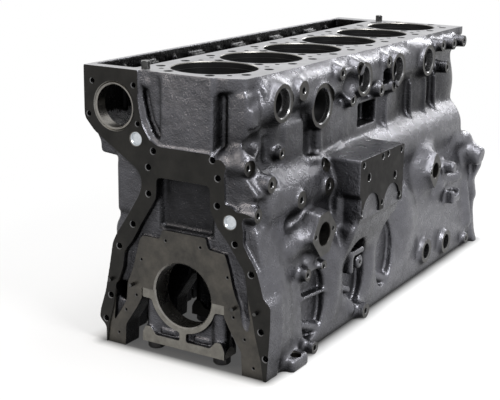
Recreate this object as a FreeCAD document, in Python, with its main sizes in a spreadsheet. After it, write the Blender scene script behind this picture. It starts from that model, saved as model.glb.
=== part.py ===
import FreeCAD
import Part
import math
import os
import Sketcher

# Bare cylinder block of a six-cylinder in-line engine with wet liners, without its liners.
# Millimetres. The crankshaft's axis is X. The origin is on it, at the middle main bearing.
# X runs to the rear of the engine, Y to the camshaft's side, Z up to the deck.

Vector = FreeCAD.Vector

# Driving dimensions: name, value, what it is
SIZES = [
    ("cylinders", 6, "number of cylinders"),
    ("bore_pitch", 160, "distance from one cylinder to the next"),
    ("front_face", 505, "middle bearing to the machined front face"),
    ("rear_face", 495, "middle bearing to the rear face"),
    ("deck_height", 394, "crankshaft axis to the deck"),
    ("rail_depth", 120, "crankshaft axis down to the oil pan rail"),
    ("deck_side", 114, "crankshaft axis to the deck's edge on the port side"),
    ("chest_side", 208, "crankshaft axis to the outer face of the camshaft chest"),
    ("mid_wall", 113, "crankshaft axis to the water jacket's outer wall, port side"),
    ("cam_wall", 141, "crankshaft axis to the water jacket's outer wall, camshaft side"),
    ("skirt_side", 172, "crankshaft axis to the skirt's outer wall"),
    ("skirt_wall", 13, "thickness of the skirt's wall"),
    ("rail_side", 182, "crankshaft axis to the edge of the pan rail"),
    ("rail_thickness", 16, "thickness of the pan rail"),
    ("counterbore_dia", 154, "liner flange seat, diameter"),
    ("counterbore_depth", 12, "liner flange seat, depth"),
    ("ledge_dia", 146, "liner's upper fit, diameter"),
    ("ledge_depth", 26, "deck to the underside of the upper fit"),
    ("jacket_dia", 152, "water space round a liner, diameter"),
    ("jacket_floor", 205, "crankshaft axis to the floor of the water space"),
    ("liner_fit_dia", 142, "liner's lower fit, diameter"),
    ("crankcase_roof", 125, "crankshaft axis to the roof of the crankcase"),
    ("web_thickness", 44, "thickness of a main bearing wall"),
    ("main_bore_dia", 118, "main bearing housing bore"),
    ("register_side", 88, "crankshaft axis to the cap's register"),
    ("register_depth", 18, "depth of the cap's register"),
    ("register_gap", 0.05, "clearance of a cap in its register, each side"),
    ("cap_clearance", 18, "the caps end this far above the oil pan rail"),
    ("cap_width", 40, "length of a main bearing cap along the crankshaft"),
    ("cap_web", 20, "thickness of a cap's web"),
    ("cap_ring", 70, "outer radius of a cap's half ring"),
    ("cap_rib", 14, "thickness of a cap's centre rib"),
    ("cap_flange", 16, "thickness of a cap's lower flange"),
    ("cap_horn", 12, "height of the horns at the ends of the lower flange"),
    ("bolt_side", 71, "crankshaft axis to a main cap bolt"),
    ("bolt_dia", 17, "main cap bolt shank"),
    ("bolt_boss", 16, "radius of the round bolt columns of a cap"),
    ("bolt_reach", 70, "bolt length in the bearing wall above the joint"),
    ("bolt_head", 27, "main cap bolt head, across flats"),
    ("bolt_head_height", 12, "height of the bolt head"),
    ("washer_dia", 32, "hardened washer under the bolt head"),
    ("washer_thickness", 3, "thickness of that washer"),
    ("cam_inset", 66, "the chest's outer face in to the camshaft axis"),
    ("cam_drop", 68, "deck down to the camshaft axis"),
    ("cam_housing_dia", 84, "bore that the camshaft bushes are pressed into"),
    ("cam_bore_dia", 76, "bore of the camshaft bushes"),
    ("cam_bush_length", 26, "length of a camshaft bush"),
    ("cam_web_radius", 52, "outer radius of a camshaft bearing's round wall"),
    ("cam_web_thickness", 28, "thickness of a camshaft bearing's wall"),
    ("chest_inner", 112, "crankshaft axis to the near wall of the camshaft chest"),
    ("chest_wall", 10, "thickness of the chest's outer wall"),
    ("chest_floor", 258, "crankshaft axis to the floor of the chest"),
    ("chest_end_front", 23, "thickness of the chest's front wall"),
    ("chest_end_rear", 35, "thickness of the chest's rear wall"),
    ("strip_depth", 12, "the front strip stands this far off the cast wall"),
    ("seal_radius", 108, "radius of the face round the crankshaft at the front"),
    ("seal_drop", 3, "that face lies this far behind the strip"),
    ("timing_pocket", 21, "depth of the square pocket in the front wall"),
    ("foot_pocket", 30, "depth of the two pockets beside the crankshaft's front face"),
    ("front_wall_drop", 3, "the cast wall over the strip lies this far behind it"),
    ("corner_rise", 262, "crankshaft axis to the foot of the deck's cut corner"),
    ("rear_flange", 18, "thickness of the rear flange"),
    ("band_out", 24, "the upper band stands this far off the deck's edge"),
    ("port_face", 140, "crankshaft axis to the faces of the upper port bosses"),
    ("port_drop", 49, "deck down to the upper ports"),
    ("port_dia", 50, "upper port, counterbore"),
    ("port_core_dia", 38, "upper port, through hole"),
    ("port_boss_dia", 68, "boss round an upper port"),
    ("filter_port_dia", 64, "large oval-sided port of the second cylinder"),
    ("gallery_radius", 22, "oil gallery along the camshaft side, outer radius"),
    ("gallery_y", 137, "oil gallery, sideways"),
    ("gallery_z", 101, "oil gallery, above the crankshaft"),
    ("gallery_dia", 20, "oil gallery, drilled hole"),
    ("pad_front", 232, "middle bearing forward to the accessory pad's front edge"),
    ("pad_rear", 35, "middle bearing forward to the accessory pad's rear edge"),
    ("pad_bottom", 108, "crankshaft axis up to the accessory pad's lower edge"),
    ("pad_top", 221, "crankshaft axis up to the accessory pad's upper edge"),
    ("pad_face", 210, "crankshaft axis to the accessory pad's face"),
    ("head_bolt_dia", 16, "head bolt hole"),
    ("head_bolt_depth", 60, "depth of a head bolt hole"),
    ("front_bolt_dia", 11, "tapped hole in the front strip"),
    ("front_bolt_depth", 24, "depth of a tapped hole in the front strip"),
    ("head_dowel_dia", 16, "head dowel"),
    ("head_dowel_reach", 14, "a head dowel stands this far above the deck"),
    ("head_dowel_seat", 12, "depth of a head dowel's hole"),
    ("pin_dia", 7, "dowel pin of the front face"),
    ("pin_reach", 9, "a pin stands this far out of the front face"),
    ("pin_seat", 14, "depth of a pin's hole"),
    ("plug_dia", 25, "bright core plug of the front face"),
    ("plug_thickness", 6, "thickness of a core plug"),
    ("plug_seat", 7, "depth of a core plug's seat"),
    ("hollow_depth", 22, "the hollows of the skirt go this deep"),
    ("hollow_wall", 13, "thickness of the wall behind a hollow"),
    ("bulge_reach", 8, "the skirt's bulges stand this far out"),
    ("boss_rise", 14, "the ports' faces on the skirt stand this far out"),
    ("starter_dia", 66, "housing of the starter motor's nose"),
    ("starter_length", 84, "length of that housing"),
    ("side_bolt_dia", 11, "tapped hole in a boss of the port side"),
    ("side_bolt_depth", 14, "depth of such a hole where the wall is thin"),
    ("seat_side", 186, "crankshaft axis to the oil cooler's seat, camshaft side"),
    ("cover_dia", 64, "round boss of a water space cover, camshaft side"),
    ("cover_seat_dia", 50, "seat of a water space cover"),
    ("cover_rise", 8, "a cover's boss stands this far off the wall"),
]

doc = FreeCAD.newDocument("CylinderBlock")
sheet = doc.addObject("Spreadsheet::Sheet", "Sizes")
for row, (alias, value, meaning) in enumerate(SIZES, start=1):
    sheet.set("A%d" % row, meaning)
    sheet.set("B%d" % row, str(value))
    sheet.setAlias("B%d" % row, alias)
doc.recompute()


class Size:
    """A number together with the formula, on the sheet's names, that a feature keeps for it."""

    def __init__(self, value, formula):
        self.value = float(value)
        self.formula = formula

    def joined(self, sign, other, value):
        return Size(value, "(%s %s %s)" % (self.formula, sign, as_size(other).formula))

    def __add__(self, other):
        return self.joined("+", other, self.value + as_size(other).value)

    def __sub__(self, other):
        return self.joined("-", other, self.value - as_size(other).value)

    def __mul__(self, other):
        return self.joined("*", other, self.value * as_size(other).value)

    def __truediv__(self, other):
        return self.joined("/", other, self.value / as_size(other).value)

    def __neg__(self):
        return Size(-self.value, "(0 - %s)" % self.formula)

    def __radd__(self, other):
        return as_size(other) + self

    def __rsub__(self, other):
        return as_size(other) - self

    def __rmul__(self, other):
        return as_size(other) * self


def as_size(value):
    if isinstance(value, Size):
        return value
    return Size(value, "(0 - %r)" % -value if value < 0 else "%r" % value)


class Sheet:
    """The sheet's cells as sizes: sizes.deck_height and so on."""

    def __getattr__(self, alias):
        return Size(getattr(sheet, alias), "Sizes." + alias)


sizes = Sheet()
cylinder_count = int(sheet.cylinders)
half_pitches = (cylinder_count - 1) / 2
cylinder_places = [sizes.bore_pitch * (i - half_pitches) for i in range(cylinder_count)]
main_places = [sizes.bore_pitch * (i - cylinder_count / 2) for i in range(cylinder_count + 1)]
block_length = sizes.front_face + sizes.rear_face
cam_y = sizes.chest_side - sizes.cam_inset
cam_z = sizes.deck_height - sizes.cam_drop
port_height = sizes.deck_height - sizes.port_drop
cap_height = sizes.rail_depth - sizes.cap_clearance

# A cutting tool starts this far outside the face that it cuts
CUT_MARGIN = 2


# Helpers that draw sketches

def new_sketch(name, plane, offset):
    """A free sketch across X (looks along +X), across Y (looks along -Y) or across Z (looks along +Z)."""
    letter, turn, sign = {
        "across X": ("x", FreeCAD.Rotation(Vector(1, 1, 1), 120), 1),
        "across Y": ("y", FreeCAD.Rotation(Vector(1, 0, 0), 90), -1),
        "across Z": ("z", FreeCAD.Rotation(), 1),
    }[plane]
    sketch = doc.addObject("Sketcher::SketchObject", name)
    sketch.Placement = FreeCAD.Placement(Vector(), turn)
    sketch.setExpression("Placement.Base." + letter, (as_size(offset) * sign).formula)
    return sketch


def body_sketch(body, name, plane, offset):
    """A sketch on one of a body's own planes: YZ_Plane looks along +X, XY_Plane along +Z."""
    sketch = body.newObject("Sketcher::SketchObject", name)
    sketch.AttachmentSupport = [(next(p for p in body.Origin.OriginFeatures if p.Role == plane), "")]
    sketch.MapMode = "FlatFace"
    sketch.setExpression("AttachmentOffset.Base.z", as_size(offset).formula)
    return sketch


def hold(sketch, kind, geometry, point, size):
    """Fix one coordinate of a point, or a diameter, to a size."""
    size = as_size(size)
    if kind == "Diameter":
        index = sketch.addConstraint(Sketcher.Constraint(kind, geometry, size.value))
    else:
        index = sketch.addConstraint(Sketcher.Constraint(kind, geometry, point, size.value))
    sketch.setExpression("Constraints[%d]" % index, size.formula)


def draw_outline(sketch, points):
    """A closed outline of straight lines through the points."""
    first = sketch.GeometryCount
    count = len(points)
    ends = [Vector(as_size(x).value, as_size(y).value, 0) for x, y in points]
    for i in range(count):
        sketch.addGeometry(Part.LineSegment(ends[i], ends[(i + 1) % count]), False)
    for i in range(count):
        sketch.addConstraint(Sketcher.Constraint("Coincident", first + i, 2, first + (i + 1) % count, 1))
    for i, (x, y) in enumerate(points):
        hold(sketch, "DistanceX", first + i, 1, x)
        hold(sketch, "DistanceY", first + i, 1, y)


def draw_box(sketch, left, right, low, high):
    draw_outline(sketch, [(left, low), (right, low), (right, high), (left, high)])


def draw_circles(sketch, centres, diameter):
    for x, y in centres:
        x = as_size(x)
        y = as_size(y)
        circle = Part.Circle(Vector(x.value, y.value, 0), Vector(0, 0, 1), as_size(diameter).value / 2)
        index = sketch.addGeometry(circle, False)
        hold(sketch, "DistanceX", index, 3, x)
        hold(sketch, "DistanceY", index, 3, y)
        hold(sketch, "Diameter", index, 0, diameter)


# Helpers that make solids from sketches

def extrude(sketch, name, length, backwards=False):
    """A solid from the sketch, along the way that it looks, or back from it."""
    solid = doc.addObject("Part::Extrusion", name)
    solid.Base = sketch
    solid.DirMode = "Normal"
    solid.setExpression("LengthFwd", as_size(length).formula)
    solid.Reversed = backwards
    solid.Solid = True
    return solid


def bosses(name, centres, diameter, start, face):
    """Round bosses on the port side, from inside the wall out to their faces."""
    sketch = new_sketch(name + "_outline", "across Y", start)
    draw_circles(sketch, centres, diameter)
    return extrude(sketch, name, as_size(face) - as_size(start))


def side_holes(name, centres, diameter, face, depth):
    """Round holes drilled from the port side; each drill starts a little outside the face."""
    sketch = new_sketch(name + "_outline", "across Y", face + CUT_MARGIN)
    draw_circles(sketch, centres, diameter)
    return extrude(sketch, name, depth + CUT_MARGIN, backwards=True)


def fuse(name, solids):
    joined = doc.addObject("Part::MultiFuse", name)
    joined.Shapes = solids
    joined.Refine = False
    return joined


def take_away(name, base, tools):
    """The base without the tools."""
    result = doc.addObject("Part::Cut", name)
    result.Base = base
    result.Tool = fuse(name + "_tools", tools) if len(tools) > 1 else tools[0]
    result.Refine = False
    return result


def body_pad(body, sketch, name, length):
    feature = body.newObject("PartDesign::Pad", name)
    feature.Profile = sketch
    feature.setExpression("Length", as_size(length).formula)
    return feature


def body_pocket(body, sketch, name, length):
    """Cut a body along the way that the sketch looks."""
    feature = body.newObject("PartDesign::Pocket", name)
    feature.Profile = sketch
    feature.setExpression("Length", as_size(length).formula)
    feature.Reversed = True
    return feature


# The casting

def build_block():
    """The outer forms are joined, hollowed, given their inner walls, and then bored and drilled."""
    outside = fuse("outside", core_forms() + side_forms() + end_forms())
    hollowed = take_away("hollowed", outside, inner_spaces() + front_recesses())
    backed = fuse("backed", [hollowed] + inner_walls())
    waved = take_away("waved", backed, skirt_hollows())
    walled = fuse("walled", [waved] + in_the_hollows())
    block = take_away("cylinder_block", walled, bores() + front_holes() + side_ports() + deck_holes())
    block.Label = "cylinder_block"
    return block


def core_forms():
    """The casting's section, with the camshaft chest on its left shoulder, and the pan rails."""
    walls = []
    deck = sizes.deck_height
    rail = -sizes.rail_depth
    skirt = sizes.skirt_side
    wall = sizes.cam_wall
    chest = sizes.chest_side
    floor = sizes.chest_floor
    section = new_sketch("section", "across X", -sizes.front_face + sizes.strip_depth)
    draw_outline(section, [
        (-sizes.deck_side, deck), (-sizes.deck_side, 316), (-sizes.mid_wall, 238),
        (-skirt + 32, 214), (-skirt + 19, 192), (-skirt + 17, 160), (-skirt + 25, 138),
        (-skirt + 14, 90), (-skirt + 5, 20), (-skirt, -60), (-skirt, rail),
        (skirt - 4, rail), (skirt - 6, -40), (skirt - 18, 60), (wall + 4, 112), (wall, 124),
        (wall, floor - 27), (wall + 16, floor - 23), (chest - 29, floor - 22), (chest - 25, floor - 17),
        (chest - 25, floor - 2), (chest, floor + 42), (chest, deck),
    ])
    walls.append(extrude(section, "core", block_length - sizes.strip_depth))

    rails = new_sketch("rails_outline", "across Z", rail)
    side = sizes.rail_side
    draw_box(rails, -sizes.front_face + 30, sizes.rear_face - 4, -side, 6 - side / 2)
    draw_box(rails, -sizes.front_face + 30, sizes.rear_face - 4, side / 2 - 6, side - 6)
    walls.append(extrude(rails, "rails", sizes.rail_thickness))

    gallery = new_sketch("gallery_outline", "across X", -sizes.front_face + sizes.strip_depth)
    draw_circles(gallery, [(sizes.gallery_y, sizes.gallery_z)], sizes.gallery_radius * 2)
    walls.append(extrude(gallery, "gallery", block_length - sizes.strip_depth))

    seat = new_sketch("cooler_seat_outline", "across Z", COOLER_SEAT["low"])
    draw_box(seat, COOLER_SEAT["front"], COOLER_SEAT["rear"], skirt - 40, sizes.seat_side)
    walls.append(extrude(seat, "cooler_seat", COOLER_SEAT["high"] - COOLER_SEAT["low"]))
    covers = new_sketch("covers_outline", "across Y", -wall - sizes.cover_rise)
    draw_circles(covers, [(x, COVER_HEIGHT) for x in cylinder_places], sizes.cover_dia)
    walls.append(extrude(covers, "cover_bosses", sizes.cover_rise * 2))
    left_ribs = new_sketch("left_ribs_outline", "across Z", LEFT_RIB_FOOT)
    for place in main_places[1:-1]:
        draw_box(left_ribs, place - 6, place + 6, wall - 6, wall + 14)
    walls.append(extrude(left_ribs, "left_ribs", floor - LEFT_RIB_FOOT - 20))
    return walls


def side_forms():
    """What stands out of the port side: the upper band, bosses, the accessory pad and the swell below it."""
    walls = []
    deck = sizes.deck_height
    inside = sizes.mid_wall - 20
    band_edge = sizes.deck_side + sizes.band_out
    band = new_sketch("band_outline", "across X", -sizes.front_face + 45)
    draw_outline(band, [
        (-inside, deck - 2), (-sizes.deck_side, deck - 2), (-band_edge + 2, deck - 24),
        (-band_edge, deck - 66), (-sizes.deck_side - 4, deck - 78), (-inside, deck - 78),
    ])
    walls.append(extrude(band, "upper_band", sizes.front_face + 235))

    for name, places, width, root, face, hole, depth in round_bosses():
        walls.append(bosses(name + "_bosses", places, width, root, face))
    for number, corners in enumerate((FLANGE_FRONT, FLANGE_REAR)):
        flange = new_sketch("flange_web_outline_%d" % number, "across Y", inside)
        draw_outline(flange, flange_corners(corners))
        walls.append(extrude(flange, "flange_web_%d" % number, sizes.port_face - 4 - inside))

    ribs = new_sketch("ribs_outline", "across Y", inside)
    for place in main_places[1:-1]:
        draw_box(ribs, place - 7, place + 7, 222, deck - 72)
    walls.append(extrude(ribs, "jacket_ribs", 33))

    shoulder = sizes.skirt_side - 40
    skirt = sizes.skirt_side
    pad_outline = new_sketch("accessory_pad_outline", "across Y", shoulder)
    draw_box(pad_outline, -sizes.pad_front, -sizes.pad_rear, sizes.pad_bottom, sizes.pad_top)
    walls.append(extrude(pad_outline, "accessory_pad", sizes.pad_face - shoulder))

    swell = new_sketch("swell_outline", "across X", -sizes.pad_front)
    draw_outline(swell, [
        (-shoulder, sizes.pad_bottom + 6), (-sizes.pad_face + 4, sizes.pad_bottom + 6),
        (-sizes.pad_face + 12, sizes.pad_bottom - 30), (-sizes.skirt_side, 20), (-shoulder, 0),
    ])
    walls.append(extrude(swell, "swell", sizes.pad_front - sizes.pad_rear))

    pump = new_sketch("pump_port_outline", "across Y", shoulder)
    px, pz = PUMP_PORT
    draw_outline(pump, [
        (px - 44, pz - 12), (px - 22, pz - 32), (px + 22, pz - 32), (px + 44, pz - 8),
        (px + 44, pz + 14), (px + 20, pz + 32), (px - 20, pz + 32), (px - 44, pz + 12),
    ])
    walls.append(extrude(pump, "pump_port_boss", skirt + sizes.boss_rise - shoulder))

    diamond = new_sketch("breather_outline", "across Y", shoulder)
    bx, bz = BREATHER_PORT
    draw_outline(diamond, [(bx - 34, bz - 4), (bx, bz - 42), (bx + 34, bz + 4), (bx, bz + 42)])
    walls.append(extrude(diamond, "breather_boss", skirt + sizes.boss_rise - shoulder))

    starter = new_sketch("starter_outline", "across X", sizes.rear_face - sizes.starter_length)
    draw_circles(starter, [(-skirt + 2, STARTER_HEIGHT)], sizes.starter_dia)
    walls.append(extrude(starter, "starter_housing", sizes.starter_length))
    bracket = new_sketch("bracket_outline", "across Y", shoulder)
    draw_box(bracket, *BRACKET)
    walls.append(extrude(bracket, "bracket", skirt + sizes.boss_rise - shoulder))

    for name, start, end, radius in PASSAGES:
        walls.append(bar(name, start, end, radius))
    for number, (x, z, along, height) in enumerate(BULGES, start=1):
        walls.append(lump("bulge_%d" % number, x, z, along, height))

    skirt_ribs = new_sketch("skirt_ribs_outline", "across Z", -sizes.rail_depth)
    for place in main_places[1:-1]:
        draw_box(skirt_ribs, place - 8, place + 8, skirt - 30, sizes.rail_side - 6)
    walls.append(extrude(skirt_ribs, "skirt_ribs", SKIRT_RIB_HEIGHT))
    return walls


def round_bosses():
    """Round bosses of the port side: name, places, width, root, face, and the hole's width and depth."""
    upper = sizes.mid_wall - 20
    lower = sizes.skirt_side - 40
    face = sizes.port_face
    skirt = sizes.skirt_side
    bolt = sizes.side_bolt_dia
    depth = sizes.side_bolt_depth
    through = face - sizes.jacket_dia / 2 + 6
    ports = [(cylinder_places[i], port_height) for i in (0, 2, 3, 4)]
    filter_port = [(cylinder_places[1], port_height - 29)]
    filter_dia = sizes.filter_port_dia
    flanges = flange_corners(FLANGE_FRONT) + flange_corners(FLANGE_REAR)
    return [
        ("port", ports, sizes.port_boss_dia, upper, face, sizes.port_core_dia, through),
        ("filter", filter_port, filter_dia + 18, upper, face - 8, filter_dia, through),
        ("sender", [sender_place()], 34, upper, face, bolt, 24),
        ("flange", flanges, 24, upper, face, bolt, 24),
        ("standoff", standoff_places(), 26, upper, face + 4, bolt, 24),
        ("ledge", LEDGE_BOSSES, 30, lower, skirt - 14, bolt + 1, 24),
        ("front_ledge", [FRONT_LEDGE_BOSS], 28, upper, skirt - 17, bolt, 22),
        ("upper_ledge", UPPER_LEDGE_BOSSES, 26, upper, skirt - 32, bolt - 2, 22),
        ("lug", [LUG], 28, sizes.mid_wall - 43, skirt - 35, bolt, 22),
        ("foot", [FOOT_BOSS], 40, lower, skirt + 7, bolt + 7, depth),
        ("rail", RAIL_BOSSES, 26, lower, skirt + 7, bolt, depth),
        ("drain", DRAIN_PORTS, 52, lower, skirt + 10, 34, 60),
        ("small_side", SMALL_BOSSES, 24, lower, skirt + 10, bolt - 2, depth),
    ]


def bar(name, start, end, radius):
    """A round passage or arm of the casting between two places."""
    way = Vector(*end) - Vector(*start)
    solid = doc.addObject("Part::Cylinder", name)
    place_at(solid, *start)
    solid.Placement.Rotation = FreeCAD.Rotation(Vector(0, 0, 1), way)
    solid.setExpression("Radius", as_size(radius).formula)
    solid.setExpression("Height", as_size(way.Length).formula)
    return solid


def lump(name, x, z, along, height):
    """A rounded bulge of the port side's skirt round a crank throw."""
    depth = 32
    solid = doc.addObject("Part::Ellipsoid", name)
    place_at(solid, x, depth - sizes.skirt_side - sizes.bulge_reach, z)
    for side, value in (("Radius1", height), ("Radius2", along), ("Radius3", depth)):
        solid.setExpression(side, as_size(value).formula)
    return solid


def end_forms():
    """The machined strip round the front face, the cast wall over it, and the wide flange at the rear."""
    walls = []
    deck = sizes.deck_height
    rail = -sizes.rail_depth
    chest = sizes.chest_side
    strip = new_sketch("strip_outline", "across X", -sizes.front_face)
    draw_outline(strip, [
        (chest, deck), (chest, 312), (chest - 1, 300), (chest - 21, 278), (chest - 43, 264),
        (120, 236), (95, 221), (84, 205), (84, 188), (90, 172), (116, 130), (140, 95), (150, 75),
        (158, 30), (168, -20), (181, -60), (183, -76), (168, -90), (168, rail),
        (-177, rail), (-183, -20), (-183, 17), (-168, 30), (-163, 50), (-155, 75), (-127, 118),
        (-127, 142), (-122, 161), (-108, 178), (-90, 182), (-88, 230), (-85, 245), (-75, 263),
        (-62, 265), (46, 265), (66, 275), (82, 300), (90, 340), (90, deck),
    ])
    walls.append(extrude(strip, "front_strip", sizes.strip_depth + 26))

    wall = new_sketch("front_wall_outline", "across X", -sizes.front_face + sizes.front_wall_drop)
    draw_box(wall, 52 - sizes.deck_side, 92, sizes.corner_rise, deck)
    walls.append(extrude(wall, "front_wall", sizes.strip_depth + 8))

    flange = new_sketch("rear_flange_outline", "across X", sizes.rear_face - sizes.rear_flange)
    draw_outline(flange, [
        (chest, deck), (chest, 270), (chest + 2, 110), (chest - 6, 20), (chest - 10, rail),
        (-198, rail), (-200, 20), (-205, 100), (-160, 160), (-130, 200), (-96, 235), (-96, 262),
        (-80, 280), (-98, 290), (-98, 312), (-sizes.deck_side, 330), (-sizes.deck_side, deck),
    ])
    walls.append(extrude(flange, "rear_wall_flange", sizes.rear_flange))
    return walls


def arch_side():
    """The opening below the crankshaft, from the joint down, on the side that Y points to."""
    side = sizes.register_side + sizes.register_gap
    step = -sizes.register_depth - 2
    low = -sizes.rail_depth - CUT_MARGIN
    return [(side, 0), (side, step), (side + 11, -40), (side + 36, -78), (side + 39, low)]


def both_sides(points):
    """An outline from its half on the Y side, closed by the same points on the other side."""
    return points + [(-y, z) for y, z in reversed(points)]


def inner_spaces():
    """The crankcase bays, the arch below the crankshaft and the camshaft chest."""
    tools = []
    inner = sizes.skirt_side - sizes.skirt_wall
    half_web = sizes.web_thickness / 2
    for number, place in enumerate(main_places[:-1], start=1):
        bay = new_sketch("bay_outline_%d" % number, "across X", place + half_web)
        draw_outline(bay, both_sides([
            (inner, -sizes.rail_depth - CUT_MARGIN), (inner, -50), (inner - 20, 55),
            (100, sizes.crankcase_roof),
        ]))
        tools.append(extrude(bay, "bay_%d" % number, sizes.bore_pitch - sizes.web_thickness))

    arch = new_sketch("arch_outline", "across X", -sizes.front_face - CUT_MARGIN)
    draw_outline(arch, both_sides(arch_side()))
    tools.append(extrude(arch, "arch", block_length + CUT_MARGIN * 2))

    outer = sizes.chest_side - sizes.chest_wall
    top = sizes.deck_height + CUT_MARGIN
    chest_front = -sizes.front_face + sizes.chest_end_front
    chest_rear = sizes.rear_face - sizes.chest_end_rear
    chest = new_sketch("chest_outline", "across X", chest_front)
    draw_outline(chest, [
        (sizes.chest_inner, top), (sizes.chest_inner, sizes.chest_floor),
        (outer - 44, sizes.chest_floor), (outer, sizes.chest_floor + 44), (outer, top),
    ])
    tools.append(extrude(chest, "chest", chest_rear - chest_front))
    return tools


def inner_walls():
    """The walls behind the skirt's hollows, those of the camshaft, and the raised face at the front."""
    walls = []
    back = sizes.skirt_side - sizes.hollow_depth - sizes.hollow_wall
    for number, hollow in enumerate(HOLLOWS, start=1):
        outline = new_sketch("hollow_wall_outline_%d" % number, "across Y", back)
        draw_outline(outline, grown(hollow, sizes.hollow_wall.value))
        walls.append(extrude(outline, "hollow_wall_%d" % number, sizes.hollow_depth + 4))
    for number, place in enumerate(main_places[1:-1], start=1):
        web = new_sketch("cam_web_outline_%d" % number, "across X", place - sizes.cam_web_thickness / 2)
        draw_circles(web, [(cam_y, cam_z)], sizes.cam_web_radius * 2)
        walls.append(extrude(web, "cam_web_%d" % number, sizes.cam_web_thickness))
        foot = new_sketch("cam_foot_outline_%d" % number, "across X", place - sizes.cam_web_thickness / 2)
        draw_box(foot, sizes.chest_inner - 4, sizes.chest_side - 4, sizes.chest_floor - 4, cam_z - 20)
        walls.append(extrude(foot, "cam_foot_%d" % number, sizes.cam_web_thickness))
    seal = new_sketch("seal_face_outline", "across X", -sizes.front_face + sizes.seal_drop)
    half = Part.Circle(Vector(), Vector(0, 0, 1), sizes.seal_radius.value)
    arc = seal.addGeometry(Part.ArcOfCircle(half, 0, math.pi), False)
    radius = seal.addConstraint(Sketcher.Constraint("Radius", arc, sizes.seal_radius.value))
    seal.setExpression("Constraints[%d]" % radius, sizes.seal_radius.formula)
    seal.addConstraint(Sketcher.Constraint("Coincident", arc, 3, -1, 1))
    base = seal.addGeometry(Part.LineSegment(Vector(-sizes.seal_radius.value, 0, 0),
                                             Vector(sizes.seal_radius.value, 0, 0)), False)
    seal.addConstraint(Sketcher.Constraint("Coincident", arc, 1, base, 2))
    seal.addConstraint(Sketcher.Constraint("Coincident", arc, 2, base, 1))
    seal.addConstraint(Sketcher.Constraint("PointOnObject", -1, 1, base))
    seal.addConstraint(Sketcher.Constraint("Horizontal", base))
    walls.append(extrude(seal, "seal_face", sizes.strip_depth + 4))
    return walls


def grown(corners, step):
    """An outline whose corners are moved outwards from its middle by a step."""
    middle = Vector(sum(x for x, z in corners) / len(corners), sum(z for x, z in corners) / len(corners), 0)
    moved = []
    for x, z in corners:
        way = Vector(x, z, 0) - middle
        way.normalize()
        moved.append((x + way.x * step, z + way.y * step))
    return moved


def skirt_hollows():
    """Hollows of the port side between the crank throws, with what stands in them left out."""
    tools = []
    out = sizes.skirt_side + sizes.bulge_reach + CUT_MARGIN
    for number, hollow in enumerate(HOLLOWS, start=1):
        outline = new_sketch("hollow_outline_%d" % number, "across Y", out)
        draw_outline(outline, hollow)
        depth = sizes.hollow_depth + sizes.bulge_reach + CUT_MARGIN
        tools.append(extrude(outline, "hollow_%d" % number, depth, backwards=True))
    return tools


def in_the_hollows():
    """The rib and the square boss that stand in the hollows."""
    walls = []
    floor = sizes.skirt_side - sizes.hollow_depth - 4
    rib = new_sketch("hollow_rib_outline", "across Y", floor)
    draw_box(rib, *HOLLOW_RIB)
    walls.append(extrude(rib, "hollow_rib", sizes.hollow_depth))
    square = new_sketch("square_boss_outline", "across Y", floor)
    along, up = SQUARE_BOSS
    draw_box(square, along - 24, along + 26, up - 24, up + 24)
    walls.append(extrude(square, "square_boss", sizes.skirt_side + 12 - floor))
    return walls


def bores():
    """The crankshaft and camshaft bores, the oil gallery and the holes of the main cap bolts."""
    tools = []
    for name, place, diameter in (
        ("main_bore", (0, 0), sizes.main_bore_dia),
        ("cam_bore", (cam_y, cam_z), sizes.cam_housing_dia),
    ):
        sketch = new_sketch(name + "_outline", "across X", -sizes.front_face - CUT_MARGIN)
        draw_circles(sketch, [place], diameter)
        tools.append(extrude(sketch, name, block_length + CUT_MARGIN * 2))
    gallery = new_sketch("gallery_hole_outline", "across X", sizes.rear_face + CUT_MARGIN)
    draw_circles(gallery, [(sizes.gallery_y, sizes.gallery_z)], sizes.gallery_dia)
    tools.append(extrude(gallery, "gallery_hole", block_length - 80, backwards=True))
    bolts = new_sketch("cap_bolt_holes_outline", "across Z", -CUT_MARGIN)
    places = [(x, side * sizes.bolt_side) for x in main_places for side in (1, -1)]
    draw_circles(bolts, places, sizes.bolt_dia)
    tools.append(extrude(bolts, "cap_bolt_holes", sizes.bolt_reach + CUT_MARGIN))
    return tools


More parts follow.
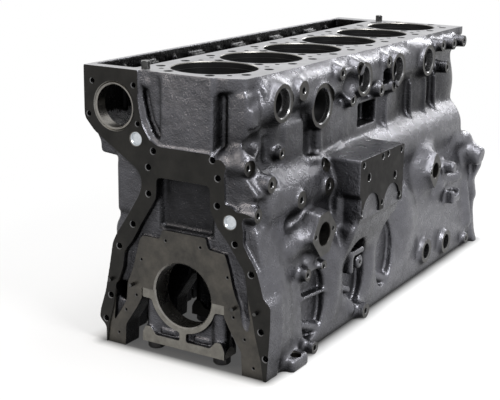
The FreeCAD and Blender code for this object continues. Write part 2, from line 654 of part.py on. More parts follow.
def front_recesses():
    """The recess inside the front strip, the square pocket, the corner and the curved groove."""
    tools = []
    front = -sizes.front_face - CUT_MARGIN
    recess = new_sketch("recess_outline", "across X", front)
    draw_outline(recess, [
        (50, 210), (52, 172), (85, 120), (105, 85), (122, 65), (127, 30), (140, -10), (122, -34),
        (95, 2), (-95, 2), (-122, -34), (-146, -10), (-136, 30), (-130, 70), (-95, 118),
        (-76, 138), (-60, 168), (-58, 210),
    ])
    tools.append(extrude(recess, "recess", sizes.strip_depth + CUT_MARGIN))

    pocket = new_sketch("timing_pocket_outline", "across X", front)
    draw_box(pocket, *TIMING_POCKET)
    tools.append(extrude(pocket, "timing_pocket", sizes.timing_pocket + CUT_MARGIN))

    for name, left, right in FOOT_POCKETS:
        foot = new_sketch("foot_pocket_outline_" + name, "across X", front)
        draw_box(foot, left, right, -34, 0)
        tools.append(extrude(foot, "foot_pocket_" + name, sizes.foot_pocket + CUT_MARGIN))

    cut_corner = new_sketch("cut_corner_outline", "across Z", sizes.corner_rise)
    side = -sizes.deck_side
    face = -sizes.front_face
    draw_outline(cut_corner, [
        (front, side + 54), (face, side + 54), (face + 13, side + 25), (face + 26, side),
        (face + 26, side - 24), (front, side - 24),
    ])
    tools.append(extrude(cut_corner, "cut_corner", sizes.deck_height - sizes.corner_rise + CUT_MARGIN))

    corner = new_sketch("corner_recess_outline", "across X", front)
    draw_box(corner, -80, -64, 284, sizes.deck_height - 14)
    tools.append(extrude(corner, "corner_recess", 16))
    groove = new_sketch("groove_outline", "across X", front)
    draw_outline(groove, [(52, 270), (62, 280), (76, 310), (82, 350), (82, 366), (68, 366),
                          (66, 330), (56, 295), (46, 272)])
    tools.append(extrude(groove, "groove", 34))
    return tools


def front_holes():
    """Tapped holes, pin holes and plug seats of the front face."""
    tools = []
    front = -sizes.front_face - CUT_MARGIN
    holes = new_sketch("strip_holes_outline", "across X", front)
    draw_circles(holes, STRIP_HOLES, sizes.front_bolt_dia)
    draw_circles(holes, CAM_PLATE_HOLES, sizes.front_bolt_dia - 2)
    tools.append(extrude(holes, "strip_holes", sizes.front_bolt_depth + CUT_MARGIN))
    pins = new_sketch("pin_holes_outline", "across X", front)
    draw_circles(pins, PINS, sizes.pin_dia)
    tools.append(extrude(pins, "pin_holes", sizes.pin_seat + CUT_MARGIN))
    plugs = new_sketch("plug_seats_outline", "across X", front)
    draw_circles(plugs, [PLUG_UPPER, PLUG_SIDE], sizes.plug_dia)
    tools.append(extrude(plugs, "plug_seats", sizes.plug_seat + CUT_MARGIN))
    return tools


def side_ports():
    """Ports and holes of the port side."""
    tools = []
    face = sizes.port_face
    skirt = sizes.skirt_side
    for name, places, width, root, front, hole, depth in round_bosses():
        tools.append(side_holes(name + "_holes", places, hole, front, depth))
    ports = [(cylinder_places[i], port_height) for i in (0, 2, 3, 4)]
    tools.append(side_holes("port_seats", ports, sizes.port_dia, face, 14))
    for number, corners in enumerate((FLANGE_FRONT, FLANGE_REAR)):
        window = new_sketch("window_%d_outline" % number, "across Y", face)
        draw_outline(window, inner_corners(corners))
        tools.append(extrude(window, "window_%d" % number, 36, backwards=True))

    seats = new_sketch("cover_seats_outline", "across Y", -sizes.cam_wall - sizes.cover_rise - CUT_MARGIN)
    draw_circles(seats, [(x, COVER_HEIGHT) for x in cylinder_places], sizes.cover_seat_dia)
    tools.append(extrude(seats, "cover_seats", sizes.cover_rise + CUT_MARGIN))
    vent = new_sketch("jacket_window_outline", "across Y", sizes.mid_wall + 12)
    draw_box(vent, *JACKET_WINDOW)
    tools.append(extrude(vent, "jacket_window", 30, backwards=True))

    front = -sizes.pad_front
    low = sizes.pad_bottom
    width = sizes.pad_front - sizes.pad_rear
    height = sizes.pad_top - sizes.pad_bottom
    bolts = [(front + width * u, low + height * w) for u, w in PAD_BOLTS]
    tools.append(side_holes("pad_bolt_holes", bolts, sizes.side_bolt_dia, sizes.pad_face, 24))
    ports = [(front + width * u, low + height * w) for u, w in PAD_PORTS]
    tools.append(side_holes("pad_ports", ports, 15, sizes.pad_face, 60))
    scallops = new_sketch("scallops_outline", "across Y", sizes.pad_face)
    draw_circles(scallops, [(front + width * u, low) for u in PAD_SCALLOPS], height * 0.56)
    tools.append(extrude(scallops, "scallops", 3, backwards=True))

    rise = skirt + sizes.boss_rise
    tools.append(side_holes("pump_port", [PUMP_PORT], 44, rise, 60))
    pump_bolts = [(PUMP_PORT[0] - 33, PUMP_PORT[1] + 1), (PUMP_PORT[0] + 33, PUMP_PORT[1] + 3)]
    tools.append(side_holes("pump_port_bolts", pump_bolts, 9, rise, 20))
    tools.append(side_holes("breather_port", [BREATHER_PORT], 34, rise, 60))
    square = new_sketch("square_port_outline", "across Y", skirt + 12)
    along, up = SQUARE_BOSS
    draw_box(square, along - 11, along + 11, up - 11, up + 11)
    tools.append(extrude(square, "square_port", 24, backwards=True))
    return tools


def deck_holes():
    """The liner seats and water spaces, the head bolt holes and the dowel holes."""
    tools = []
    deck = sizes.deck_height
    steps = [
        ("liner_seats", deck, sizes.counterbore_dia, sizes.counterbore_depth),
        ("upper_fits", deck, sizes.ledge_dia, sizes.ledge_depth),
        ("water_spaces", deck - sizes.ledge_depth, sizes.jacket_dia,
         deck - sizes.ledge_depth - sizes.jacket_floor),
        ("lower_fits", sizes.jacket_floor, sizes.liner_fit_dia,
         sizes.jacket_floor - sizes.crankcase_roof + 1),
    ]
    for name, height, diameter, depth in steps:
        sketch = new_sketch(name + "_outline", "across Z", height)
        draw_circles(sketch, [(x, 0) for x in cylinder_places], diameter)
        tools.append(extrude(sketch, name, depth, backwards=True))

    places = []
    for i, x in enumerate(cylinder_places):
        places += [(x + u, y) for u, y in HEAD_BOLTS]
        if i + 1 == cylinder_count:
            places += [(x + sizes.bore_pitch / 2, 42), (x + sizes.bore_pitch / 2, -42)]
    sketch = new_sketch("head_bolt_holes_outline", "across Z", deck)
    draw_circles(sketch, places, sizes.head_bolt_dia)
    tools.append(extrude(sketch, "head_bolt_holes", sizes.head_bolt_depth, backwards=True))
    sketch = new_sketch("head_dowel_holes_outline", "across Z", deck)
    draw_circles(sketch, head_dowel_places(), sizes.head_dowel_dia)
    tools.append(extrude(sketch, "head_dowel_holes", sizes.head_dowel_seat, backwards=True))
    return tools


# Places on the casting that follow no other size: sideways and up on the front face, and along and
# up on the port side
STRIP_HOLES = [
    (58, 256), (69, 226), (69, 178), (104, 117), (135, 71), (156, -27), (168, -75),
    (-64, 256), (-75, 226), (-74, 178), (-110, 116), (-143, 68), (-164, -31), (-174, -78),
]
CAM_PLATE_HOLES = [(189, 367), (99, 367), (91, 300), (198, 307)]
PINS = [
    (sizes.skirt_side - 19, 5), (sizes.seal_radius - 2, 3),
    (-sizes.seal_radius - 2, 1), (17 - sizes.skirt_side, 2),
]
PLUG_UPPER = (95, 273)
PLUG_SIDE = (-100, 153)
FLANGE_FRONT = [(-96, 23), (-24, 25), (-48, -34)]
FLANGE_REAR = [(-48, 21), (-18, -32), (-79, -33)]
LEDGE_BOSSES = [(-492, 166), (-358, 168), (-240, 165)]
FRONT_LEDGE_BOSS = (-460, 217)
UPPER_LEDGE_BOSSES = [(-394, 254), (-235, 207)]
LUG = (-494, 252)
FOOT_BOSS = (-399, -97)
RAIL_BOSSES = [(-265, -103), (-131, -106)]
COVER_HEIGHT = 180
LEFT_RIB_FOOT = 120
SKIRT_RIB_HEIGHT = 150
STARTER_HEIGHT = 100
COOLER_SEAT = {"front": 120, "rear": 330, "low": -60, "high": 40}
# Boxes on a side: its ends along, then its ends up
BRACKET = (318, 352, 44, 72)
JACKET_WINDOW = (-66, -12, 246, 292)
HOLLOW_RIB = (-410, -274, -4, 8)
TIMING_POCKET = (-58, 50, 115, 210)
FOOT_POCKETS = [("left", 118, 143), ("right", -150, -121)]
PUMP_PORT = (-320, 101)
BREATHER_PORT = (200, 114)
DRAIN_PORTS = [(183, -66), (300, -74)]
SMALL_BOSSES = [(-370, 36), (-309, 36)]
SQUARE_BOSS = (-180, 8)
PAD_BOLTS = [(0.08, 0.9), (0.5, 0.92), (0.62, 0.93), (0.94, 0.9), (0.08, 0.1), (0.52, 0.12), (0.94, 0.1)]
PAD_PORTS = [(0.2, 0.66), (0.8, 0.5)]
PAD_SCALLOPS = [0.27, 0.74]
# Hollows of the skirt, each an outline along and up
HOLLOWS = [
    [(-398, 44), (-350, 58), (-292, 44), (-274, 4), (-282, -50), (-302, -82), (-350, -88), (-394, -72),
     (-408, -10)],
    [(-214, 30), (-190, 46), (-150, 34), (-123, -4), (-118, -46), (-140, -78), (-176, -84), (-206, -62),
     (-214, -10)],
    [(-72, 72), (-46, 84), (0, 64), (32, 30), (52, -16), (42, -46), (2, -52), (-30, -32), (-52, 20)],
]
# Bulges of the skirt: along, up, half length and half height
BULGES = [(-452, -30, 50, 100), (-246, -10, 34, 90), (-96, -20, 30, 80), (90, 10, 60, 90)]
# Round passages and arms of the casting: name, two ends and radius
PASSAGES = [
    ("inlet_passage", (-470, -104, 284), (-396, -110, 296), 27),
    ("pump_passage", (-330, -150, 100), (-396, -150, 84), 20),
    ("flange_passage", (-240, -112, 316), (-176, -116, 350), 18),
    ("starter_arm", (400, -150, 150), (470, -158, 138), 22),
    ("bracket_arm", (300, -150, 60), (372, -166, 66), 13),
    ("rear_arm", (430, -158, 40), (484, -174, -70), 20),
    ("breather_arm", (240, -140, 150), (280, -148, 60), 20),
]
HEAD_BOLTS = [(-80, 42), (-80, -42), (-38, -88), (38, -88), (38, 88), (-38, 88)]


def flange_corners(corners):
    """The three bolts of a water flange, measured from the port that it stands beside."""
    port = cylinder_places[2] if corners is FLANGE_FRONT else cylinder_places[3]
    return [(port + u, port_height + w) for u, w in corners]


def inner_corners(corners):
    """The window between those bolts: the same triangle, drawn in towards its middle."""
    places = flange_corners(corners)
    keep = 0.5
    middle_u = sum(u for u, w in corners) / len(corners)
    middle_w = sum(w for u, w in corners) / len(corners)
    return [(x - u * (1 - keep) + middle_u * (1 - keep), z - w * (1 - keep) + middle_w * (1 - keep))
            for (x, z), (u, w) in zip(places, corners)]


def sender_place():
    return cylinder_places[0] + 73, port_height + 12


def standoff_places():
    last = cylinder_places[-1]
    return [(last + u, port_height + w) for u, w in ((39, 22), (-24, 22), (-90, 25), (-58, -27))]


def head_dowel_places():
    return [(-sizes.front_face + 25, 90), (sizes.rear_face - 22, 90)]


# The pieces that are fitted to it

def build_cap(number, place):
    """A main bearing cap: a half ring on a thin web, with round bolt columns and a flange below."""
    body = doc.addObject("PartDesign::Body", "main_bearing_cap_%d" % number)
    body.Label = "main_bearing_cap_%d" % number
    half = sizes.cap_width / 2
    side = sizes.register_side
    low = -cap_height
    rear_limit = place - half

    ears = body_sketch(body, "cap_ears_%d" % number, "YZ_Plane", rear_limit)
    draw_box(ears, -side, side, -sizes.register_depth, 0)
    body_pad(body, ears, "cap_top_%d" % number, sizes.cap_width)
    web = body_sketch(body, "cap_web_outline_%d" % number, "YZ_Plane", place - sizes.cap_web / 2)
    draw_box(web, -sizes.bolt_side, sizes.bolt_side, low, 0)
    body_pad(body, web, "cap_web_%d" % number, sizes.cap_web)
    ring = body_sketch(body, "cap_ring_outline_%d" % number, "YZ_Plane", rear_limit)
    draw_circles(ring, [(0, 0)], sizes.cap_ring * 2)
    body_pad(body, ring, "cap_ring_%d" % number, sizes.cap_width)
    frame = body_sketch(body, "cap_frame_outline_%d" % number, "YZ_Plane", rear_limit)
    rib = sizes.cap_rib / 2
    top = low + sizes.cap_flange
    horn = top + sizes.cap_horn
    draw_outline(frame, [
        (-side, low), (side, low), (side, top), (side - 8, horn), (side - 18, horn), (side - 30, top),
        (rib, top), (rib, -sizes.cap_ring + 4), (-rib, -sizes.cap_ring + 4), (-rib, top),
        (-side + 30, top), (-side + 18, horn), (-side + 8, horn), (-side, top),
    ])
    body_pad(body, frame, "cap_frame_%d" % number, sizes.cap_width)
    columns = body_sketch(body, "cap_columns_outline_%d" % number, "XY_Plane", low)
    bolts = [(place, sizes.bolt_side), (place, -sizes.bolt_side)]
    draw_circles(columns, bolts, sizes.bolt_boss * 2)
    body_pad(body, columns, "cap_columns_%d" % number, cap_height)

    above = body_sketch(body, "cap_joint_outline_%d" % number, "YZ_Plane", rear_limit)
    draw_box(above, -side, side, 0, sizes.cap_ring + 5)
    body_pocket(body, above, "cap_joint_%d" % number, sizes.cap_width)
    bore = body_sketch(body, "cap_bore_outline_%d" % number, "YZ_Plane", rear_limit)
    draw_circles(bore, [(0, 0)], sizes.main_bore_dia)
    body_pocket(body, bore, "cap_bore_%d" % number, sizes.cap_width)
    holes = body_sketch(body, "cap_holes_outline_%d" % number, "XY_Plane", low)
    draw_circles(holes, bolts, sizes.bolt_dia)
    body_pocket(body, holes, "cap_holes_%d" % number, cap_height)
    return body


def compound(label, solids):
    """Like fasteners share one node, as separate solids."""
    feature = doc.addObject("Part::Compound", label)
    feature.Label = label
    feature.Links = solids
    return feature


def cylinder(name, diameter, height, x, y, z, axis=None):
    """A plain round solid whose base centre is at x, y, z, along Z or along X."""
    item = doc.addObject("Part::Cylinder", name)
    item.setExpression("Radius", (as_size(diameter) / 2).formula)
    item.setExpression("Height", as_size(height).formula)
    place_at(item, x, y, z)
    if axis == "X":
        item.Placement.Rotation = FreeCAD.Rotation(Vector(0, 1, 0), 90)
    return item


def place_at(item, x, y, z):
    for letter, value in (("x", x), ("y", y), ("z", z)):
        item.setExpression("Placement.Base." + letter, as_size(value).formula)


def build_cap_bolts():
    """Hexagon-headed main cap bolts, screwed up into the bearing walls, and their washers."""
    bolts = []
    washers = []
    under = -cap_height
    head_top = under - sizes.washer_thickness
    for number, x in enumerate(main_places, start=1):
        for side in (1, -1):
            y = sizes.bolt_side * side
            mark = "%d_%s" % (number, "left" if side > 0 else "right")
            shank = cylinder("shank_" + mark, sizes.bolt_dia, sizes.bolt_reach - head_top, x, y, head_top)
            head = doc.addObject("Part::Prism", "head_" + mark)
            head.Polygon = 6
            head.setExpression("Circumradius", (sizes.bolt_head / 3 ** 0.5).formula)
            head.setExpression("Height", sizes.bolt_head_height.formula)
            place_at(head, x, y, head_top - sizes.bolt_head_height)
            bolt = doc.addObject("Part::Fuse", "bolt_" + mark)
            bolt.Base = shank
            bolt.Tool = head
            bolts.append(bolt)
            disc = cylinder("disc_" + mark, sizes.washer_dia, sizes.washer_thickness, x, y, head_top)
            hole = cylinder("hole_" + mark, sizes.bolt_dia, sizes.washer_thickness, x, y, head_top)
            washer = doc.addObject("Part::Cut", "washer_" + mark)
            washer.Base = disc
            washer.Tool = hole
            washers.append(washer)
    return [compound("main_cap_bolts", bolts), compound("main_cap_washers", washers)]


def build_cam_bushes():
    """One thin bush in each camshaft bearing; the end ones are flush with the block's ends."""
    bushes = []
    length = sizes.cam_bush_length
    starts = [x - length / 2 for x in main_places]
    starts[0] = -sizes.front_face
    starts[-1] = sizes.rear_face - length
    for number, start in enumerate(starts, start=1):
        outer = cylinder("bush_outer_%d" % number, sizes.cam_housing_dia, length,
                         start, cam_y, cam_z, "X")
        inner = cylinder("bush_inner_%d" % number, sizes.cam_bore_dia, length,
                         start, cam_y, cam_z, "X")
        bush = doc.addObject("Part::Cut", "camshaft_bush_%d" % number)
        bush.Label = "camshaft_bush_%d" % number
        bush.Base = outer
        bush.Tool = inner
        bushes.append(bush)
    return bushes


def build_plugs_and_pins():
    """Core plugs and dowel pins of the front face, and the dowels that locate the head."""
    parts = []
    start = -sizes.front_face + sizes.plug_seat - sizes.plug_thickness
    for label, (y, z) in (("front_plug_upper", PLUG_UPPER), ("front_plug_side", PLUG_SIDE)):
        plug = cylinder(label, sizes.plug_dia, sizes.plug_thickness, start, y, z, "X")
        plug.Label = label
        parts.append(plug)
    pins = [cylinder("pin_%d" % i, sizes.pin_dia, sizes.pin_seat + sizes.pin_reach,
                     -sizes.front_face - sizes.pin_reach, y, z, "X") for i, (y, z) in enumerate(PINS)]
    parts.append(compound("front_dowel_pins", pins))
    for label, (x, y) in zip(("head_dowel_front", "head_dowel_rear"), head_dowel_places()):
        low = sizes.deck_height - sizes.head_dowel_seat
        length = sizes.head_dowel_seat + sizes.head_dowel_reach
        dowel = cylinder(label, sizes.head_dowel_dia, length, x, y, low)
        dowel.Label = label
        parts.append(dowel)
    return parts


nodes = [build_block()]
nodes += [build_cap(number, place) for number, place in enumerate(main_places, start=1)]
nodes += build_cap_bolts()
nodes += build_cam_bushes()
nodes += build_plugs_and_pins()
doc.recompute()

# Every feature has to be sound before anything is written
faults = [item.Name for item in doc.Objects if "Invalid" in item.State or "Error" in item.State]
if faults:
    raise RuntimeError("these objects failed: %s" % ", ".join(faults))
for node in nodes:
    if node.Shape.isNull() or not node.Shape.isValid():
        raise RuntimeError("%s has no sound shape" % node.Label)

os.makedirs("parts", exist_ok=True)
for node in nodes:
    node.Shape.exportStep(os.path.join("parts", node.Label + ".step"))
    print(node.Label, len(node.Shape.Solids), "solids,", round(node.Shape.Volume / 1000), "cm3")
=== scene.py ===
# %% [markdown]
# # A bare six-cylinder engine block
# The object is the iron casting at the heart of a large in-line diesel engine, with its cylinder
# liners out. It comes from a sand mould, so most of its skin is rough and every inner corner is
# round. Only the faces and bores that other parts touch are cut flat and smooth afterwards. The
# script works in that same order: first the casting, then the machining, then the fitted pieces.

# %% Load the CAD model
import math

import bmesh
import bpy
import numpy as np
import openvdb
from mathutils import Matrix, Vector


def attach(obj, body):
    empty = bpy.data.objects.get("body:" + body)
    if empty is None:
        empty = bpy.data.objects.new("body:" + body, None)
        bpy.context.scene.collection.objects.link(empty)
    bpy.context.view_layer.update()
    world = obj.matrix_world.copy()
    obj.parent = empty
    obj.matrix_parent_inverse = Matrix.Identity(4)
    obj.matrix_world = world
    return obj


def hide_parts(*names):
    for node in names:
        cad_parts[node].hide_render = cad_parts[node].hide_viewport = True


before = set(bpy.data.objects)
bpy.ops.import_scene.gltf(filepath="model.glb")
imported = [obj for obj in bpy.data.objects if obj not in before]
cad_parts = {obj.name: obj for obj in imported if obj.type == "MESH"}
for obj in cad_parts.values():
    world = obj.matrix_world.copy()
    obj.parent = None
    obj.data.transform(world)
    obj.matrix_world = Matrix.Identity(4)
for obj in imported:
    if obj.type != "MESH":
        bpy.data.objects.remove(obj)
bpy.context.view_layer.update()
print("CAD nodes:", len(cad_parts))

# %% [markdown]
# ## Sizes
# The sizes are the CAD model's, in millimetres, because an engine drawing uses them. The
# crankshaft's axis is X, with the middle main bearing at zero. Y runs to the camshaft's side and Z
# up. Blender works in metres, so meshes are scaled by MM at the moment they are made.

# %% Shared sizes
# FRONT and REAR are faces in X, CHEST is the chest's wall in Y, DECK and RAIL are faces in Z, and CAM
# is the camshaft's axis in Y and Z.
MM = 0.001
PITCH = 160
CYLINDERS = [PITCH * (i - 2.5) for i in range(6)]
BEARINGS = [PITCH * (i - 3) for i in range(7)]
FRONT = -505
REAR = 495
DECK = 394
RAIL = -120
CHEST = 208
CAM = (142, 326)


def new_object(name, data):
    """An object at the origin that shows its data in the scene."""
    thing = bpy.data.objects.new(name, data)
    bpy.context.scene.collection.objects.link(thing)
    return thing


print("cylinders at", CYLINDERS)

# %% [markdown]
# ## The camera and the light
# The photograph looks down at the front right corner. Six equal bores and the deck's edges fix
# where its camera stood, so the camera's place is a plain matrix. The lamps are broad, because iron
# shows its form by wide soft highlights: one large lamp above lights every upward slope.

# %% Camera
YAW = math.radians(30.963)
PITCH_DOWN = math.radians(15.19)
ROLL = math.radians(0.84)
LENS = 81.17
CAMERA_PLACE = (-2050.48, -1066.42, 688.0)
ahead = Vector((math.cos(YAW) * math.cos(PITCH_DOWN), math.sin(YAW) * math.cos(PITCH_DOWN),
                -math.sin(PITCH_DOWN)))
side = Vector((math.sin(YAW), -math.cos(YAW), 0))
above = side.cross(ahead)
right = side * math.cos(ROLL) + above * math.sin(ROLL)
up = above * math.cos(ROLL) - side * math.sin(ROLL)
camera_data = bpy.data.cameras.new("camera")
camera_data.lens = LENS
camera_data.sensor_width = 36
camera_data.clip_start = 0.05
camera = new_object("camera", camera_data)
turn = Matrix((right, up, -ahead)).transposed().to_4x4()
camera.matrix_world = Matrix.Translation(Vector(CAMERA_PLACE) * MM) @ turn
bpy.context.scene.camera = camera
print("camera at", [round(v, 3) for v in camera.location])

# %% Helpers for colours and nodes


def colour(code):
    """An sRGB hex colour as the linear values that a shader takes."""
    parts = [int(code[i:i + 2], 16) / 255 for i in (1, 3, 5)]
    return tuple(c / 12.92 if c <= 0.04045 else ((c + 0.055) / 1.055) ** 2.4 for c in parts) + (1.0,)


def add_node(tree, kind, inputs=(), **settings):
    """Add a node, its kind named without the prefix. Inputs pair a socket with an output, a node (its
    first output) or a plain value; settings name a property or a socket and give its value."""
    prefixes = ("ShaderNode", "GeometryNode", "Node")
    node = tree.nodes.new(next(p + kind for p in prefixes if hasattr(bpy.types, p + kind)))
    for name, value in settings.items():
        if hasattr(node, name):
            setattr(node, name, value)
        else:
            node.inputs[name.replace("_", " ")].default_value = value
    for socket, source in inputs:
        source = source.outputs[0] if isinstance(source, bpy.types.Node) else source
        if isinstance(source, bpy.types.NodeSocket):
            tree.links.new(source, node.inputs[socket])
        else:
            node.inputs[socket].default_value = source
    return node


def fill_ramp(ramp, stops):
    """Set a colour ramp's stops, given as positions with hex colours or grey shares, from 0 up."""
    elements = ramp.color_ramp.elements
    for position, _ in stops[1:-1]:
        elements.new(position)
    for element, (position, shade) in zip(elements, stops):
        element.position = position
        element.color = colour(shade) if isinstance(shade, str) else (shade, shade, shade, 1)


# %% World
def backdrop_rays(tree):
    """1 for the rays that look at the backdrop: from the camera, off metal or through glass."""
    rays = add_node(tree, "LightPath").outputs
    gloss = add_node(tree, "Math", [(0, rays["Is Camera Ray"]), (1, rays["Is Glossy Ray"])],
                     operation="ADD", use_clamp=True)
    return add_node(tree, "Math", [(0, gloss), (1, rays["Is Transmission Ray"])],
                    operation="ADD", use_clamp=True)


def outside_box(tree, place, centre, half):
    """Distance in metres from a box, zero inside it."""
    moved = add_node(tree, "VectorMath", [(0, place), (1, centre)], operation="SUBTRACT")
    folded = add_node(tree, "VectorMath", [(0, moved)], operation="ABSOLUTE")
    beyond = add_node(tree, "VectorMath", [(0, folded), (1, half)], operation="SUBTRACT")
    outside = add_node(tree, "VectorMath", [(0, beyond)], operation="MAXIMUM")
    return add_node(tree, "VectorMath", [(0, outside)], operation="LENGTH").outputs["Value"]


world = bpy.data.worlds.new("studio")
bpy.context.scene.world = world
world.use_nodes = True
sky = world.node_tree
sky.nodes.clear()
soft = add_node(sky, "Background", Color=colour("#d6d8dc"), Strength=0.26)
white = add_node(sky, "Background", Color=(1, 1, 1, 1), Strength=1.0)
choice = add_node(sky, "MixShader", [(0, backdrop_rays(sky)), (1, soft), (2, white)])
add_node(sky, "OutputWorld", [("Surface", choice)])
bpy.context.scene.view_settings.view_transform = "Standard"
print("world: white to the camera, soft grey to the object")


# %% Lamps
def lamp(name, place, target, size, power, tint="#ffffff"):
    """A broad rectangular lamp that looks at a target."""
    data = bpy.data.lights.new(name, "AREA")
    data.shape = "RECTANGLE"
    data.size, data.size_y = size
    data.energy = power
    data.color = colour(tint)[:3]
    thing = new_object(name, data)
    thing.location = place
    thing.rotation_euler = (Vector(target) - Vector(place)).to_track_quat("-Z", "Y").to_euler()


lamp("top_lamp", (0.2, -0.3, 2.4), (0, 0, 0.2), (1.3, 0.7), 26)
lamp("side_lamp", (-0.8, -2.1, 2.1), (0, 0, 0.1), (0.9, 0.6), 66)
lamp("front_lamp", (-2.4, 0.9, 1.5), (-0.5, 0, 0.1), (0.8, 0.6), 20, "#fff4e6")
lamp("rear_lamp", (2.9, -0.5, 1.4), (0.2, -0.2, 0.1), (1.6, 0.6), 36)
lamp("back_lamp", (0.6, 3.0, 1.6), (0, 0, 0.1), (2.0, 1.4), 22)
print("lamps: 5")

# %% [markdown]
# ## How the casting is grown
# A sand casting has no sharp inner corners: wherever two walls meet, the pattern maker leaves a
# fillet. Joining boxes with Booleans gives hard corners, and bevelling hundreds of them by hand
# rarely works. So the iron is first kept as distances on a grid: each form says how far every point
# is from its skin, and two forms are joined with a smooth minimum, which leaves a fillet by itself.
# OpenVDB then turns the zero level into a closed mesh.

# %% The grid of distances
FAR = 60.0
SKIN_CELLS = 4


def smooth_minimum(a, b, fillet):
    """The lesser of two distances, blended where they are within a fillet of each other."""
    fillet = max(fillet, 0.01)
    share = np.clip(0.5 + 0.5 * (b - a) / fillet, 0, 1)
    return b + (a - b) * share - fillet * share * (1 - share)


def bake(thing):
    """Apply an object's modifiers to its mesh."""
    graph = bpy.context.evaluated_depsgraph_get()
    baked = bpy.data.meshes.new_from_object(thing.evaluated_get(graph))
    old = thing.data
    thing.modifiers.clear()
    thing.data = baked
    bpy.data.meshes.remove(old)


class Iron:
    """Distances in mm from the points of a grid to the skin of the iron; below zero is iron."""

    def __init__(self, low, high, step):
        self.step = step
        self.axes = [np.arange(a, b + step, step, dtype=np.float32) for a, b in zip(low, high)]
        self.field = np.full([len(axis) for axis in self.axes], FAR, np.float32)

    def window(self, form, fillet):
        """The part of the grid that a form and its fillet reach, and the form's distances there."""
        shape, low, high = form
        margin = fillet + 2 * self.step
        spans = [slice(*np.searchsorted(axis, (a - margin, b + margin)))
                 for axis, a, b in zip(self.axes, low, high)]
        x, y, z = np.ix_(*[axis[span] for axis, span in zip(self.axes, spans)])
        return tuple(spans), np.asarray(shape(x, y, z), np.float32)

    def add(self, form, fillet):
        place, distance = self.window(form, fillet)
        self.field[place] = smooth_minimum(self.field[place], distance, fillet)

    def carve(self, form, fillet):
        place, distance = self.window(form, fillet)
        self.field[place] = -smooth_minimum(-self.field[place], distance, fillet)

    def soften(self):
        """Round off the outer edges a little, as sand leaves them."""
        self.field = np.clip(self.field, -SKIN_CELLS * self.step, SKIN_CELLS * self.step)
        for axis in range(3):
            lines = np.moveaxis(self.field, axis, 0)
            lines[1:-1] = (lines[:-2] + 2 * lines[1:-1] + lines[2:]) / 4

    def mesh(self, name, triangles):
        """The skin as a closed mesh, thinned to a number of triangles."""
        grid = openvdb.FloatGrid(SKIN_CELLS * self.step)
        grid.copyFromArray(np.ascontiguousarray(self.field))
        points, _, quads = grid.convertToPolygons(isovalue=0.0, adaptivity=0.0)
        points = points * self.step + np.array([axis[0] for axis in self.axes])
        mesh = bpy.data.meshes.new(name)
        mesh.vertices.add(len(points))
        mesh.vertices.foreach_set("co", (points * MM).astype(np.float32).ravel())
        mesh.loops.add(quads.size)
        mesh.loops.foreach_set("vertex_index", quads.astype(np.int32).ravel())
        mesh.polygons.add(len(quads))
        mesh.polygons.foreach_set("loop_start", (np.arange(len(quads)) * 4).astype(np.int32))
        mesh.update(calc_edges=True)
        thing = new_object(name, mesh)
        if triangles < 2 * len(quads):
            thin = thing.modifiers.new("thin", "DECIMATE")
            thin.ratio = triangles / (2 * len(quads))
            bake(thing)
        print(name, "grid", self.field.shape, "quads", len(quads), "kept faces", len(thing.data.polygons))
        return thing


# %% The forms that the iron is grown from
def rounded(gaps, rounding):
    """Distance to a form from how far a point is past each pair of its faces, edges rounded."""
    gaps = [gap + rounding for gap in gaps]
    outside = np.sqrt(sum(np.maximum(gap, 0) ** 2 for gap in gaps))
    deepest = gaps[0]
    for gap in gaps[1:]:
        deepest = np.maximum(deepest, gap)
    return outside + np.minimum(deepest, 0) - rounding


def block(low, high, rounding):
    """A box between two corners, with rounded edges."""
    def shape(x, y, z):
        gaps = [abs(v - (a + b) / 2) - (b - a) / 2 for v, a, b in zip((x, y, z), low, high)]
        return rounded(gaps, rounding)
    return shape, low, high


def plate(points, across, start, end, rounding, ease=0.0):
    """An outline, in the two other axes, given a thickness along one axis. ease rounds its corners."""
    points = eased(points, ease) if ease else points
    axis = "XYZ".index(across)

    def shape(*place):
        level = inside_distance(points, *place[:axis], *place[axis + 1:])
        depth = abs(place[axis] - (start + end) / 2) - abs(end - start) / 2
        return rounded([level, depth], rounding)

    low, high = [list(reach(points, axis=0)) for reach in (np.min, np.max)]
    low.insert(axis, min(start, end))
    high.insert(axis, max(start, end))
    return shape, low, high


def inside_distance(points, u, v):
    """Distance to a closed outline in a plane, negative inside."""
    nearest = np.full(np.broadcast(u, v).shape, 1e9, np.float32)
    sign = np.ones_like(nearest)
    for (au, av), (bu, bv) in zip(points, points[1:] + points[:1]):
        eu, ev = bu - au, bv - av
        share = np.clip(((u - au) * eu + (v - av) * ev) / (eu * eu + ev * ev), 0, 1)
        nearest = np.minimum(nearest, (u - au - eu * share) ** 2 + (v - av - ev * share) ** 2)
        if ev != 0:
            crosses = (v >= min(av, bv)) & (v < max(av, bv)) & (u < au + eu * (v - av) / ev)
            sign = np.where(crosses, -sign, sign)
    return np.sqrt(nearest) * sign


def eased(points, reach):
    """Replace each corner of an outline by a short curve that starts `reach` before it."""
    curve = []
    for i, corner in enumerate(points):
        corner = np.array(corner, float)
        ends = []
        for other in (points[i - 1], points[(i + 1) % len(points)]):
            along = np.array(other, float) - corner
            length = np.linalg.norm(along)
            ends.append(corner + along / length * min(reach, length * 0.48))
        for t in (0.0, 0.33, 0.67, 1.0):
            curve.append(tuple((1 - t) ** 2 * ends[0] + 2 * t * (1 - t) * corner + t * t * ends[1]))
    return curve


